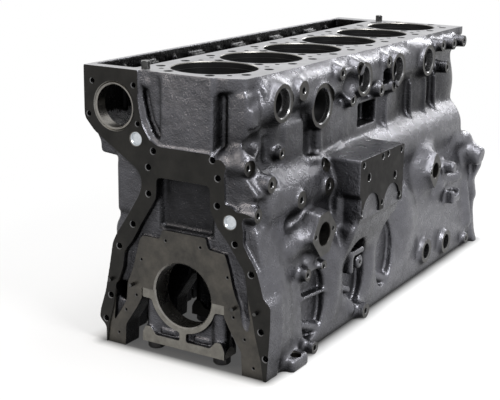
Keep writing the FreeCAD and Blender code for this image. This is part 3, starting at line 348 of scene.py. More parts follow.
def stem(start, end, radius, end_radius=None):
    """A round bar between two points, thicker at one end if need be, with round ends."""
    end_radius = radius if end_radius is None else end_radius
    a, b = np.array(start, float), np.array(end, float)

    def shape(*place):
        along = b - a
        share = np.clip(sum((v - s) * e for v, s, e in zip(place, a, along)) / along.dot(along), 0, 1)
        gap = sum((v - s - e * share) ** 2 for v, s, e in zip(place, a, along))
        return np.sqrt(gap) - radius - (end_radius - radius) * share

    thick = max(radius, end_radius)
    return shape, np.minimum(a, b) - thick, np.maximum(a, b) + thick


def drum(start, end, radius, end_radius, rounding):
    """A round bar with flat ends, straight or tapered."""
    a, b = np.array(start, float), np.array(end, float)
    length = np.linalg.norm(b - a)
    along = (b - a) / length

    def shape(*place):
        reach = sum((v - s) * e for v, s, e in zip(place, a, along))
        gap = sum((v - s - e * reach) ** 2 for v, s, e in zip(place, a, along))
        level = np.sqrt(gap) - radius - (end_radius - radius) * np.clip(reach / length, 0, 1)
        return rounded([level, abs(reach - length / 2) - length / 2], rounding)

    thick = max(radius, end_radius)
    return shape, np.minimum(a, b) - thick, np.maximum(a, b) + thick


def swell(centre, reaches):
    """A rounded lump: an ellipsoid."""
    def shape(x, y, z):
        parts = [(v - c) / r for v, c, r in zip((x, y, z), centre, reaches)]
        near = np.sqrt(sum(p ** 2 for p in parts)) + 1e-6
        slope = np.sqrt(sum((p / r) ** 2 for p, r in zip(parts, reaches))) + 1e-6
        return near * (near - 1) / slope
    return shape, np.array(centre) - reaches, np.array(centre) + reaches


print("forms: block, plate, stem, drum, swell")

# %% [markdown]
# ## The raw casting
# Everything here is left about 3 mm proud where the real block is machined later, just as a foundry
# leaves it. The order follows the pattern: outer body, ends, the port side with its bosses, then
# the cores that hollow it out.

# %% Outer body
# The raw casting's levels, proud of the machined faces.
ALLOWANCE = 3
CAST_FRONT = FRONT - ALLOWANCE
CAST_REAR = REAR + ALLOWANCE
CAST_DECK = DECK + ALLOWANCE
CAST_RAIL = RAIL - ALLOWANCE
iron = Iron((FRONT - 12, -228, RAIL - 12), (REAR + 12, 222, DECK + 12), 2.5)
add, carve = iron.add, iron.carve

UPPER = [(-113, 140), (-113, 310), (-114, CAST_DECK), (141, CAST_DECK), (141, 140)]
SKIRTS = [
    (-113, 238), (-140, 214), (-153, 192), (-155, 160), (-147, 138), (-158, 90), (-167, 20), (-172, -60),
    (-172, CAST_RAIL), (168, CAST_RAIL), (166, -40), (154, 60), (145, 112), (141, 124),
    (141, 231),
]
CHEST_SECTION = [
    (130, 231), (157, 235), (179, 236), (183, 241), (183, 256), (CHEST, 300), (CHEST, CAST_DECK),
    (118, CAST_DECK),
]
add(plate(UPPER, "X", FRONT + 10, CAST_REAR, 5), 1)
add(plate(SKIRTS, "X", FRONT + 10, CAST_REAR, 4, ease=12), 14)
add(plate(CHEST_SECTION, "X", FRONT + 12, CAST_REAR, 3, ease=5), 8)
add(block((FRONT + 30, 100, CAST_RAIL), (REAR - 4, 176, RAIL + 16), 3), 12)
add(stem((FRONT + 34, 137, 101), (REAR - 10, 137, 101), 22), 12)
print("outer body grown")

# %% Front end
STRIP = [
    (CHEST, CAST_DECK), (CHEST, 312), (207, 300), (187, 278), (165, 264), (120, 236), (95, 221), (84, 205),
    (84, 188), (90, 172), (116, 130), (140, 95), (150, 75), (158, 30), (168, -20), (181, -60), (183, -76),
    (168, -90), (168, CAST_RAIL), (-177, CAST_RAIL), (-183, -20), (-183, 17), (-168, 30), (-163, 50),
    (-155, 75), (-127, 118), (-127, 142), (-122, 161), (-108, 178), (-90, 182), (-88, 230), (-85, 245),
    (-75, 263), (-62, 265), (46, 265), (66, 275), (82, 300), (90, 340), (90, CAST_DECK),
]
RECESS = [
    (50, 205), (52, 172), (85, 120), (105, 85), (122, 65), (127, 30), (142, -6), (146, -30), (152, -80),
    (140, -60), (122, -34), (104, 2), (-104, 2), (-122, -34), (-138, -60), (-158, -84), (-150, -40),
    (-146, -10), (-136, 30), (-130, 70), (-95, 118), (-76, 138), (-60, 168), (-58, 205),
]
SEAL_FACE = [
    (90, 95), (50, 95), (42, 112), (-50, 112), (-56, 93), (-90, 91), (-98, 68), (-105, 38), (-112, 18),
    (-119, 6), (-124, -30), (-140, -60), (-156, -90), (-164, CAST_RAIL), (-122, CAST_RAIL), (-122, -76),
    (-100, -42), (-92, -16), (92, -16), (100, -42), (122, -76), (122, CAST_RAIL), (158, CAST_RAIL),
    (150, -90), (136, -60), (122, -30), (119, 6), (112, 20), (104, 42), (97, 70),
]
add(plate(STRIP, "X", CAST_FRONT, FRONT + 38, 1.5, ease=5), 3)
add(block((FRONT + 3, -62, 262), (FRONT + 30, 48, CAST_DECK), 3), 4)
carve(plate(RECESS, "X", FRONT - 20, FRONT + 12, 3, ease=6), 3)
carve(block((FRONT - 20, -58, 118), (FRONT + 22, 50, 210), 7), 4)
carve(block((FRONT - 20, 118, -34), (FRONT + 34, 143, 0), 6), 4)
carve(block((FRONT - 20, -150, -34), (FRONT + 34, -121, 0), 6), 4)
add(plate(SEAL_FACE, "X", FRONT - 1, FRONT + 26, 1.5, ease=5), 3)
add(stem((FRONT + 4, 84, 97), (FRONT + 4, 54, 97), 3), 3)
add(stem((FRONT + 4, 40, 113), (FRONT + 4, -48, 113), 4), 3)
add(stem((FRONT + 4, -58, 94), (FRONT + 4, -88, 92), 3), 3)

CORNER_GROOVE = [(50, 276), (60, 282), (74, 310), (82, 345), (84, 366), (74, 368), (68, 340), (60, 308),
                 (46, 284)]
add(block((FRONT + 4, 44, 268), (FRONT + 30, 92, CAST_DECK), 3), 4)
carve(plate(CORNER_GROOVE, "X", FRONT - 20, FRONT + 17, 5, ease=8), 6)
carve(block((FRONT - 20, 46, 284), (FRONT + 7, 50, DECK - 12), 1), 3)
add(swell((FRONT + 13, 74, 372), (11, 14, 12)), 5)
print("front end grown")

# %% Rear end
REAR_OUTLINE = [
    (CHEST, CAST_DECK), (CHEST, 268), (206, 110), (200, 20), (196, RAIL), (-187, CAST_RAIL), (-178, -96),
    (-167, -45), (-170, -22), (-178, -8), (-170, 30), (-186, 68), (-186, 102), (-146, 131), (-118, 140),
    (-116, 166), (-70, 213), (-68, 262), (-84, 280), (-96, 312), (-100, 360), (-114, DECK - 20),
    (-114, CAST_DECK),
]
add(plate(REAR_OUTLINE, "X", REAR - 18, CAST_REAR, 3, ease=6), 10)
print("rear end grown")

# %% The deck's front corner, cut off at a slant, and the pocket beside it
CUT_CORNER = [(FRONT - 20, -60), (FRONT, -60), (FRONT + 13, -89), (FRONT + 26, -114),
              (FRONT + 26, -150), (FRONT - 20, -150)]
POCKET = [(-66, 262), (-66, 352), (-72, 366), (-84, 370), (-150, 372), (-150, 262)]
REAR_CORNER = [(REAR + 20, -52), (REAR - 14, -56), (442, -104), (428, -154), (428, -230),
               (REAR + 20, -230)]
REAR_GUSSET = [(-60, 150), (-116, 150), (-116, 166), (-70, 213), (-60, 216)]
carve(plate(CUT_CORNER, "Z", 262, DECK + 20, 1), 3)
carve(plate(POCKET, "X", FRONT - 20, FRONT + 20, 4), 5)
carve(block((FRONT - 10, -82, 258), (FRONT + 28, -66, 366), 7), 7)
add(block((-482, -127, 312), (-458, -100, 344), 3), 3)
carve(plate(REAR_CORNER, "Z", 136, 372, 6, ease=8), 8)
add(plate(REAR_GUSSET, "X", REAR - 14, CAST_REAR, 3), 3)
add(block((REAR - 44, -86, 262), (REAR - 20, -50, 284), 3), 4)
add(block((REAR - 40, -78, 214), (REAR - 20, -50, 232), 3), 4)
print("corners cut")

# %% Port side: bands, ledges and the wall between them
BAND = [(-95, 392), (-114, 392), (-131, 370), (-132, 332), (-116, 314), (-95, 312)]
RIB = [(-100, 212), (-128, 216), (-126, 300), (-112, 330), (-100, 330)]
add(plate(BAND, "X", FRONT + 62, 280, 6, ease=8), 14)
add(plate([(-95, 384), (-122, 378), (-122, 352), (-95, 340)], "X", 270, 436, 5, ease=5), 12)
for x in (60, 186, 262, 320):
    add(plate(RIB, "X", x - 5, x + 5, 4), 7)
for x in CYLINDERS[2:]:
    add(swell((x + 10, -96, 270), (62, 26, 66)), 10)
add(block((-382, -127, 186), (-290, -80, 310), 18), 12)
add(block((-486, -119, 262), (-440, -80, 368), 5), 8)
add(block((-242, -124, 206), (-112, -90, 312), 7), 6)
add(block((-118, -122, 206), (22, -90, 300), 5), 5)
carve(block((-69, -150, 246), (14, -88, 292), 4), 4)
add(plate([(-69, 240), (14, 240), (14, 246), (-69, 246)], "Y", -112, -122, 3), 3)
print("port side's wall grown")

# %% Port side: round bosses
# Each boss: place along X and Z, its face's distance from the axis and radius there, then its root's.
PORTS = [(x, 345, 143, 33, 96, 46) for x in (-400, -80, 80, 240)] + [(-240, 316, 135, 41, 92, 52)]
SMALL = [
    (-327, 357, 143, 17, 112, 26), (-176, 368, 143, 12, 118, 18), (-104, 370, 143, 12, 118, 18),
    (-128, 311, 143, 12, 112, 18), (32, 366, 143, 12, 118, 18), (1, 312, 143, 12, 112, 18),
    (62, 313, 143, 12, 112, 18), (439, 367, 147, 13, 96, 15), (376, 367, 147, 13, 96, 15),
    (310, 370, 147, 13, 96, 15), (342, 318, 147, 13, 96, 15), (-490, 247, 129, 13, 80, 15),
    (-388, 254, 136, 11, 104, 14), (-460, 217, 158, 14, 110, 22), (-247, 209, 143, 12, 110, 20),
    (-492, 169, 151, 13, 118, 14), (-358, 168, 161, 15, 130, 24), (-254, 172, 161, 15, 130, 24),
    (-370, 36, 184, 11, 150, 16), (-309, 36, 184, 11, 150, 16), (-352, -106, 193, 12, 150, 18),
    (183, -66, 185, 26, 150, 34), (300, -74, 185, 26, 150, 34), (-137, -103, 192, 15, 150, 22),
    (430, -100, 186, 12, 150, 20),
]
carve(block((-508, -190, 142), (-468, -140, 196), 10), 10)
add(block((-448, -199, CAST_RAIL), (-390, -150, -97), 8), 14)
for x, z, face, radius, root, root_radius in PORTS + SMALL:
    add(drum((x, -root, z), (x, -face, z), root_radius, radius, 1.5), 9)
print("round bosses:", len(PORTS + SMALL))

# %% Port side: webs, arms and passages between the bosses
WEBS = [
    [(-184, 374), (-96, 376), (-120, 303), (-136, 303)], [(24, 372), (40, 372), (70, 306), (-6, 306)],
]
ARMS = [
    ((-400, -118, 345), (-327, -122, 357), 17, 13), ((-327, -118, 357), (-300, -112, 384), 12, 8),
    ((-484, -80, 256), (-466, -98, 262), 16, 22), ((-460, -110, 217), (-480, -110, 262), 16, 20),
    ((-388, -106, 254), (-392, -106, 300), 12, 18), ((-235, -118, 207), (-240, -118, 260), 12, 10),
    ((-446, -100, 336), (-400, -108, 339), 26, 30), ((-240, -112, 316), (-176, -118, 350), 26, 12),
    ((-240, -112, 316), (-320, -112, 350), 26, 14), ((80, -116, 345), (32, -118, 366), 20, 11),
    ((240, -116, 345), (310, -112, 368), 22, 12), ((-80, -116, 345), (-104, -120, 370), 22, 12),
    ((160, -112, 384), (230, -116, 372), 10, 14),
]
for points in WEBS:
    add(plate(points, "Y", -100, -136, 3, ease=8), 6)
carve(swell((-136, -146, 342), (30, 24, 26)), 3)
carve(plate([(20, 352), (44, 352), (50, 322), (12, 322)], "Y", -118, -160, 3, ease=6), 3)
for arm in ARMS:
    add(stem(*arm), 12)
carve(swell((-378, -158, 128), (24, 22, 20)), 10)
carve(swell((-458, -130, 283), (34, 30, 20)), 6)
carve(block((-424, -160, 244), (-407, -110, 288), 5), 5)
carve(block((-432, -160, 204), (-414, -126, 240), 6), 6)
carve(block((-288, -160, 226), (-252, -112, 276), 8), 8)
print("webs and arms:", len(WEBS) + len(ARMS))

# %% Port side: accessory pad and the swell under it
add(block((-232, -213, 108), (-35, -120, 221), 4), 8)
add(plate([(-140, 110), (-205, 112), (-200, 78), (-178, 20), (-140, -20)], "X", -232, -35, 10, ease=12), 16)
carve(block((-240, -230, 90), (-224, -168, 150), 8), 8)
add(stem((-290, -128, 222), (-228, -132, 212), 10, 10), 6)
add(stem((-228, -132, 212), (-150, -126, 226), 6, 5), 6)

# %% Port side: pump port, breather port, brackets and starter housing
PUMP = [(-368, 98), (-334, 60), (-300, 62), (-272, 104), (-306, 142), (-340, 140)]
BREATHER = [(166, 110), (200, 72), (234, 118), (200, 156)]
add(plate(PUMP, "Y", -130, -189, 2, ease=4), 6)
add(plate(PUMP, "Y", -130, -172, 8, ease=8), 16)
add(stem((-340, -150, 100), (-396, -150, 84), 24, 16), 16)
add(stem((-322, -160, 72), (-352, -162, 40), 15, 10), 12)
add(stem((-370, -166, 36), (-309, -168, 36), 8), 8)
add(plate(BREATHER, "Y", -130, -189, 4, ease=7), 12)
add(swell((204, -150, 112), (56, 30, 60)), 16)
add(drum((452, -120, 112), (452, -200, 98), 36, 21, 4), 14)
add(stem((400, -140, 140), (452, -150, 134), 18, 22), 14)
carve(swell((440, -190, 48), (22, 26, 20)), 10)
add(stem((300, -150, 60), (372, -168, 66), 12, 14), 12)
add(block((304, -192, 14), (346, -140, 44), 4), 10)
carve(block((314, -204, 30), (338, -172, 54), 3), 3)
add(drum((318, -140, 96), (318, -186, 96), 18, 12, 2), 8)
carve(block((352, -200, 104), (366, -160, 150), 5), 6)
add(stem((446, -156, 20), (452, -164, -60), 14, 20), 14)
carve(swell((470, -176, -30), (10, 16, 44)), 8)
add(stem((240, -140, 150), (280, -150, 60), 16, 24), 22)
carve(swell((268, -178, 104), (20, 22, 34)), 14)
carve(swell((420, -182, 20), (26, 18, 40)), 16)
print("pad, ports and brackets grown")

# %% [markdown]
# ## The waves of the crankcase
# A crankcase wall is thin. The founder lets it bulge round each crank throw and draws it in at each
# main bearing, where the web behind it is, so it looks wavy. The hollows are carved from the flat
# skirt with round-edged cutters, and some forms inside them, such as a rib, are added after that.

# %% Bulges of the skirt
BULGES = [(-452, -30, 50, 110), (-246, -10, 34, 90), (-96, -20, 30, 80), (90, 10, 60, 90)]
for x, z, along, height in BULGES:
    add(swell((x, -148, z), (along, 35, height)), 18)
print("bulges:", len(BULGES))

# %% Left side: ribs, round covers and the oil cooler's seat
UPPER_RIB = [(130, 238), (170, 238), (160, 190), (152, 130), (130, 120)]
LOWER_RIB = [(140, 80), (168, 60), (178, RAIL + 10), (150, RAIL + 10)]
for x in BEARINGS[1:-1]:
    add(plate(UPPER_RIB, "X", x - 6, x + 6, 4), 8)
    add(plate(LOWER_RIB, "X", x - 7, x + 7, 5), 10)
for x in CYLINDERS:
    add(drum((x, 126, 180), (x, 149, 180), 34, 31, 3), 8)
    carve(drum((x, 141, 180), (x, 160, 180), 25, 25, 1), 2)
add(block((120, 130, -60), (330, 186, 40), 6), 12)
print("left side grown")

# %% Cores of the crankcase bays, and the hollows of the skirt
BAY = [(-159, RAIL - 20), (-159, -50), (-139, 55), (-98, 125), (98, 125), (139, 55), (159, -50),
       (159, RAIL - 20)]
for start in BEARINGS[:-1]:
    carve(plate(BAY, "X", start + 22, start + PITCH - 22, 12, ease=18), 8)
SKIRT = -172
HOLLOW_DEPTH = 18
WALL = 15
HOLLOWS = [
    ([(-368, 24), (-338, 34), (-298, 30), (-284, 4), (-284, -56), (-300, -92), (-334, -100), (-360, -92),
      (-368, -70)], 5),
    ([(-208, 34), (-194, 54), (-160, 56), (-130, 22), (-120, -20), (-124, -62), (-142, -92), (-200, -58),
      (-210, -30)], 4),
    ([(-76, 58), (-56, 78), (-30, 80), (-6, 62), (18, 28), (26, 0), (20, -50), (0, -84), (-30, -90),
      (-52, -70), (-60, -20)], 5),
]
for points, _ in HOLLOWS:
    middle = np.mean(points, axis=0)
    backing = [tuple(middle + (np.array(p) - middle) * 1.28) for p in points]
    add(plate(backing, "Y", SKIRT + HOLLOW_DEPTH + WALL, -158, 4, ease=16), 4)
for points, rounding in HOLLOWS:
    carve(plate(points, "Y", SKIRT + HOLLOW_DEPTH, -260, rounding, ease=12), 5)
add(plate([(-374, -16), (-278, -24), (-278, -16), (-374, -8)], "Y", -140, -171, 2), 5)
add(block((-206, -186, 22), (-148, -140, 34), 3), 4)
add(block((-206, -186, -10), (-194, -140, 34), 3), 4)
add(drum((-160, -140, 4), (-160, -183, 4), 16, 13, 2), 4)
add(stem((-364, -154, -66), (-298, -157, -92), 8, 12), 6)
add(stem((-56, -153, -56), (2, -157, -82), 8, 12), 6)
add(stem((-216, -158, -34), (-180, -166, -50), 7), 5)
add(stem((-186, -156, -66), (-172, -168, -92), 10, 12), 8)
print("hollows:", len(HOLLOWS))

# %% Cores of the front opening, the camshaft chest and the water spaces
ARCH = [
    (127, RAIL - 20), (124, -78), (99, -40), (88, -20), (88, -2), (-88, -2), (-88, -20), (-99, -40),
    (-124, -78), (-127, RAIL - 20),
]
CHEST_SPACE = [(112, DECK + 20), (112, 266), (122, 258), (156, 258), (198, 302), (198, DECK + 20)]
CHEST_MOUTH = [(112, DECK + 20), (112, DECK - 14), (198, DECK - 14), (198, DECK + 20)]
carve(plate(ARCH, "X", FRONT - 20, REAR + 20, 0.5), 2)
carve(plate(CHEST_SPACE, "X", FRONT + 23, REAR - 35, 6), 6)
for x in CYLINDERS:
    carve(drum((x, 0, 205), (x, 0, 366), 77, 77, 6), 3)
    carve(drum((x, 0, 100), (x, 0, 240), 70, 70, 1), 3)
for x in BEARINGS[1:-1]:
    add(drum((x - 14, *CAM), (x + 14, *CAM), 51, 51, 2), 4)
    add(block((x - 14, 108, 250), (x + 14, 204, 306), 3), 4)
    add(block((x - 31, 187, 368), (x + 17, 201, 384), 1.5), 2)
for x in CYLINDERS:
    add(block((x - 4, 190, 300), (x + 4, 201, DECK - 8), 2), 4)
carve(plate(CHEST_MOUTH, "X", FRONT + 23, REAR - 35, 1), 1)
iron.soften()
casting = iron.mesh("cylinder_block_casting", 145000)

# %% [markdown]
# ## Machining
# A milling cutter or a drill leaves a flat face or a true bore with a sharp edge, which is just what
# a Boolean does. Each tool is a closed mesh that carries the finish it leaves, and the Boolean hands
# that finish to the faces it cuts. One tool set is used after another, as on the machining line.

# %% Finishes, filled in later
FINISHES = ["cast_iron", "milled_front", "ground_deck", "milled_pad", "bored", "drilled", "milled_rail",
            "spot_face", "milled_cap", "milled_seal", "oiled_bore", "bush_metal", "plug_zinc", "ground_steel",
            "bolt_steel"]
materials = {name: bpy.data.materials.new(name) for name in FINISHES}
casting.data.materials.append(materials["cast_iron"])
print("finishes:", len(FINISHES))


# %% Shapes of the tools
def prism(outline, start, end, finish):
    """An outline in Y and Z, cut along X: its points, its faces and the finish that each leaves."""
    count = len(outline)
    points = [(x, y, z) for x in (start, end) for y, z in outline]
    faces = [tuple(range(count))[::-1], tuple(range(count, 2 * count))]
    faces += [(i, (i + 1) % count, count + (i + 1) % count, count + i) for i in range(count)]
    return points, faces, [finish] * len(faces) if isinstance(finish, str) else finish


def box(low, high, finish):
    """A box. A list of finishes goes front, rear, below, left, above, right."""
    (a, b, c), (d, e, f) = low, high
    return prism([(b, c), (e, c), (e, f), (b, f)], a, d, finish)


def turned(profile, place, axis, finish, sides=32):
    """A turned shape: (distance along the axis, radius) pairs from a place, along X, Y or Z."""
    angle = 2 * math.pi * (np.arange(sides) + 0.5) / sides
    circle = np.array([np.zeros(sides), np.cos(angle), np.sin(angle)]).T
    points = np.concatenate([circle * radius + (along, 0, 0) for along, radius in profile])
    last = (len(profile) - 1) * sides
    faces = [tuple(range(sides))[::-1], tuple(range(last, last + sides))]
    for ring in range(0, last, sides):
        for i, j in zip(range(sides), [*range(1, sides), 0]):
            faces.append((ring + i, ring + j, ring + sides + j, ring + sides + i))
    return np.roll(points, "XYZ".index(axis), axis=1) + place, faces, [finish] * len(faces)


def hole(place, axis, inward, radius, depth, finish="drilled", chamfer=1.0, sides=24):
    """A hole from a face inwards along an axis, with a small countersink at its mouth."""
    profile = [(-3, radius + chamfer), (0, radius + chamfer), (chamfer, radius), (depth, radius)]
    profile = [(inward * along, r) for along, r in profile][::inward]
    return turned(profile, place, axis, finish, sides)


print("shapes: prism, box, turned, hole")


# %% Solids and machining
def solid(name, shapes):
    """One object from closed shapes."""
    points, faces, finish = [], [], []
    for shape_points, shape_faces, shape_finish in shapes:
        faces += [[len(points) + i for i in face] for face in shape_faces]
        points += [tuple(c * MM for c in p) for p in shape_points]
        finish += shape_finish
    mesh = bpy.data.meshes.new(name)
    mesh.from_pydata(points, [], faces)
    used = sorted(set(finish))
    for slot in used:
        mesh.materials.append(materials[slot])
    mesh.polygons.foreach_set("material_index", [used.index(f) for f in finish])
    whole = bmesh.new()
    whole.from_mesh(mesh)
    bmesh.ops.recalc_face_normals(whole, faces=whole.faces)
    whole.to_mesh(mesh)
    whole.free()
    return new_object(name, mesh)


def machine(target, shapes, operation="DIFFERENCE"):
    """Cut the target with tools of these shapes, which leave their finishes on it."""
    tool = solid("tool", shapes)
    cut = target.modifiers.new("cut", "BOOLEAN")
    cut.operation = operation
    cut.solver = "MANIFOLD"
    cut.object = tool
    cut.material_mode = "TRANSFER"
    bake(target)
    mesh = tool.data
    bpy.data.objects.remove(tool)
    bpy.data.meshes.remove(mesh)
    print(operation.lower(), "->", len(target.data.polygons), "faces")


print("raw casting", len(casting.data.polygons), "faces")

# %% Mill the flat faces: what is outside this box is cut away
SIX_FINISHES = ["milled_front", "milled_rail", "milled_rail", "cast_iron", "ground_deck", "milled_pad"]
machine(casting, [box((FRONT, -210, RAIL), (REAR, 240, DECK), SIX_FINISHES)], "INTERSECT")

# %% Mill the seal's face and the faces of the bosses
SEAL_CUT = [
    (50, 140), (52, 140), (85, 120), (105, 85), (122, 65), (127, 30), (143, -6), (149, -40), (161, -84),
    (168, -130), (-172, -130), (-165, -84), (-153, -40), (-147, -10), (-136, 30), (-130, 70), (-95, 118),
    (-60, 140),
]
machine(casting, [prism(SEAL_CUT, FRONT - 10, FRONT + 3, "milled_seal")])
machine(casting, [
    turned([(0, radius + 1.5), (24, radius + 1.5)], (x, -face - 21, z), "Y", "spot_face", 40)
    for x, z, face, radius, *_ in PORTS + SMALL])
machine(casting, [
    box((-384, -200, 52), (-258, -186, 150), "spot_face"),
    box((158, -200, 66), (242, -186, 162), "spot_face"),
    box((-232.5, -214, 84), (-34.5, -207, 107.5), "cast_iron")])

# %% Bore the cylinders, the crankshaft and camshaft lines and the caps' register
CYLINDER = [(110, 71), (208, 71), (209, 60), (363, 60), (364, 73), (390, 73)]
SEAT = [(383, 77), (392.5, 77)]
RIM = [(392.5, 77), (394.5, 79), (402, 79)]
CRANK = [(FRONT - 5, 62), (FRONT + 3, 62), (FRONT + 6, 59), (REAR - 2, 59), (REAR, 61), (REAR + 5, 61)]
CAMSHAFT = [(FRONT - 5, 44.5), (FRONT, 44.5), (FRONT + 2.5, 42), (REAR + 5, 42)]
REGISTER = [(88.05, -20), (88.05, 0), (-88.05, 0), (-88.05, -20)]
# The cylinder bores and seats take the finish painted nearly black as shade.
cylinders, seats, rims = (
    [turned(profile, (x, 0, 0), "Z", finish, 96) for x in CYLINDERS]
    for profile, finish in ((CYLINDER, "oiled_bore"), (SEAT, "oiled_bore"), (RIM, "bored")))
lines = [turned(CRANK, (0, 0, 0), "X", "bored", 96), turned(CAMSHAFT, (0, *CAM), "X", "bored", 72),
         turned([(-430, 10), (REAR + 5, 10)], (0, 137, 101), "X", "drilled", 24)]
for shapes in (cylinders + lines, seats, rims, [prism(REGISTER, FRONT - 5, REAR + 5, "bored")]):
    machine(casting, shapes)

# %% Drill the front face
STRIP_HOLES = [
    (58, 256), (69, 226), (69, 178), (104, 117), (135, 71), (156, -27), (168, -75),
    (-64, 256), (-75, 226), (-74, 178), (-110, 116), (-143, 68), (-164, -31), (-174, -78),
]
CAM_PLATE_HOLES = [(189, 367), (99, 367), (91, 300), (198, 307)]
SEAL_HOLES = [(35, 97), (-38, 97), (88, 53), (-94, 53), (100, -17), (-107, -17), (124, -50), (-130, -53),
              (141, -98), (-149, -102)]
PINS = [(153, 5), (106, 3), (-110, 1), (-155, 2)]
PLUGS = {"front_plug_upper": (95, 273), "front_plug_side": (-100, 153)}
# The columns are the places, how deep the face is, the radius, the depth, the finish, the chamfer and
# the number of sides.
FRONT_HOLES = [
    (STRIP_HOLES, 0, 5.5, 24, "drilled", 1.2, 24), (CAM_PLATE_HOLES, 0, 4.5, 18, "drilled", 1, 24),
    (SEAL_HOLES, 3, 2.5, 16, "drilled", 0.6, 16), (PINS, 0, 3.5, 14, "drilled", 0.5, 20),
    (PLUGS.values(), 0, 12.5, 7, "bored", 0.8, 40),
]
drills = [hole((FRONT + sunk, y, z), "X", 1, *sizes) for places, sunk, *sizes in FRONT_HOLES
          for y, z in places]
print("front holes:", len(drills))

# %% Drill the deck
BOLTS_BY_CYLINDER = ((-80, 42), (-80, -42), (-38, -88), (38, -88), (38, 88), (-38, 88))
BOLT_HOLES = [(x + u, v) for x in CYLINDERS for u, v in BOLTS_BY_CYLINDER] + [(480, 42), (480, -42)]
WATER_HOLES = [(x + u, v) for x in CYLINDERS for u in (-62, 62) for v in (-70, 70)]
DOWEL_PLACES = {"head_dowel_front": (FRONT + 25, 90), "head_dowel_rear": (REAR - 22, 90)}
DECK_HOLES = [(BOLT_HOLES, 8, 60, "oiled_bore", 1.2), (WATER_HOLES, 4.5, 30, "oiled_bore", 0.5, 16),
              (DOWEL_PLACES.values(), 8, 12, "bored", 0.5, 32)]
drills += [hole((x, y, DECK), "Z", -1, *sizes) for places, *sizes in DECK_HOLES for x, y in places]
print("deck holes:", len(BOLT_HOLES + WATER_HOLES))

# %% Bore and drill the port side
PORT_MOUTH = [(-5, 27), (0, 27), (2, 25), (14, 23), (14, 22)]
OPEN_MOUTH = [(-5, 34), (0, 34), (2, 32), (9, 31.5)]
BORED_RADIUS = {17: 6, 12: 5.5, 13: 5.5, 14: 5.5, 11: 4.5, 15: 6, 20: 9, 26: 17}
*plugged, opened = [(x, ALLOWANCE - face, z) for x, z, face, *_ in PORTS]
cores = [turned([(0, 19), (70, 19)], place, "Y", "oiled_bore", 48) for place in plugged]
cores.append(turned([(0, 31), (70, 31)], opened, "Y", "oiled_bore", 56))
drills += [turned(PORT_MOUTH, place, "Y", "drilled", 48) for place in plugged]
drills += [
    turned(OPEN_MOUTH, opened, "Y", "drilled", 56), hole((-160, -183, 4), "Y", 1, 4, 20),
    hole((-419, -184, -97), "Z", -1, 12, 60, "spot_face", 1.5),
    hole((-320, -186, 101), "Y", 1, 22, 60, "spot_face", 1.2, 40),
    hole((200, -186, 114), "Y", 1, 17, 60, "spot_face", 1.0, 32)]
drills += [hole((x, ALLOWANCE - face, z), "Y", 1, BORED_RADIUS[radius], 60 if radius == 26 else 22)
           for x, z, face, radius, *_ in SMALL]
drills += [hole((x, -186, z), "Y", 1, radius, 20, chamfer=0.6, sides=16)
           for x, z, radius in ((-353, 102, 4.2), (-287, 104, 4.2), (176, 112, 3.5), (224, 117, 3.5))]
print("port side's bosses bored:", len(PORTS + SMALL))

# %% Drill the pad and cut its two scallops
# Places on the pad are shares of its length and height.
PAD_FRONT, PAD_LOW, PAD_LONG, PAD_HIGH = -232, 108, 197, 113
PAD_BOLTS = [(0.08, 0.9), (0.5, 0.92), (0.62, 0.93), (0.94, 0.9), (0.08, 0.1), (0.52, 0.12), (0.94, 0.1)]
PAD_OIL = [(0.2, 0.66), (0.8, 0.5)]
drills += [hole((PAD_FRONT + PAD_LONG * u, -210, PAD_LOW + PAD_HIGH * w), "Y", 1, radius, depth)
           for shares, radius, depth in ((PAD_BOLTS, 5.5, 24), (PAD_OIL, 7.5, 60)) for u, w in shares]
scallops = [turned([(-5, 37), (3, 37)], (PAD_FRONT + PAD_LONG * u, -210, PAD_LOW + 5), "Y", "cast_iron",
                   48) for u in (0.27, 0.74)]
for shapes in (cores, drills, scallops):
    machine(casting, shapes)

# %% Drill the pan rail and the rear face, and mill the chest's ledges
RAIL_HOLES = 13
RAIL_STEP = (REAR - FRONT - 70) / (RAIL_HOLES - 1)
REAR_HOLES = [
    (190, 372), (190, 290), (185, 180), (183, 60), (184, -60), (-100, 372), (-85, 262), (-118, 205),
    (-178, 150), (-185, 40), (-184, -60), (100, 372), (0, 372), (0, 250), (60, 180), (-60, 180), (100, 110),
    (-100, 110),
]
last_cuts = [hole((FRONT + 40 + i * RAIL_STEP, y, RAIL), "Z", 1, 4.5, 22, chamfer=0.8, sides=16)
             for i in range(RAIL_HOLES) for y in (-165, 162)]
last_cuts += [hole((REAR, y, z), "X", -1, 5.5, 26) for y, z in REAR_HOLES]
last_cuts += [box((x - 36, 180, 381), (x + 22, 197, 386), "ground_deck") for x in BEARINGS[1:-1]]
machine(casting, last_cuts)


# %% Shade the casting
def finish_shading(thing, angle=32):
    """Smooth the faces, and keep the edges sharper than an angle."""
    thing.data.shade_smooth()
    thing.data.set_sharp_from_angle(angle=math.radians(angle))


finish_shading(casting)
print("machined casting", len(casting.data.polygons), "faces")

# %% [markdown]
# ## Finishes
# Grey cast iron straight from sand is dark, a little shiny and grainy, because the skin took the
# shape of the sand. Milled iron is smoother, and faint marks of the cutter catch the light. All the
# patterns read Object coordinates, which are metres here, so a grain of 3 mm has a scale of 1 / 0.003.


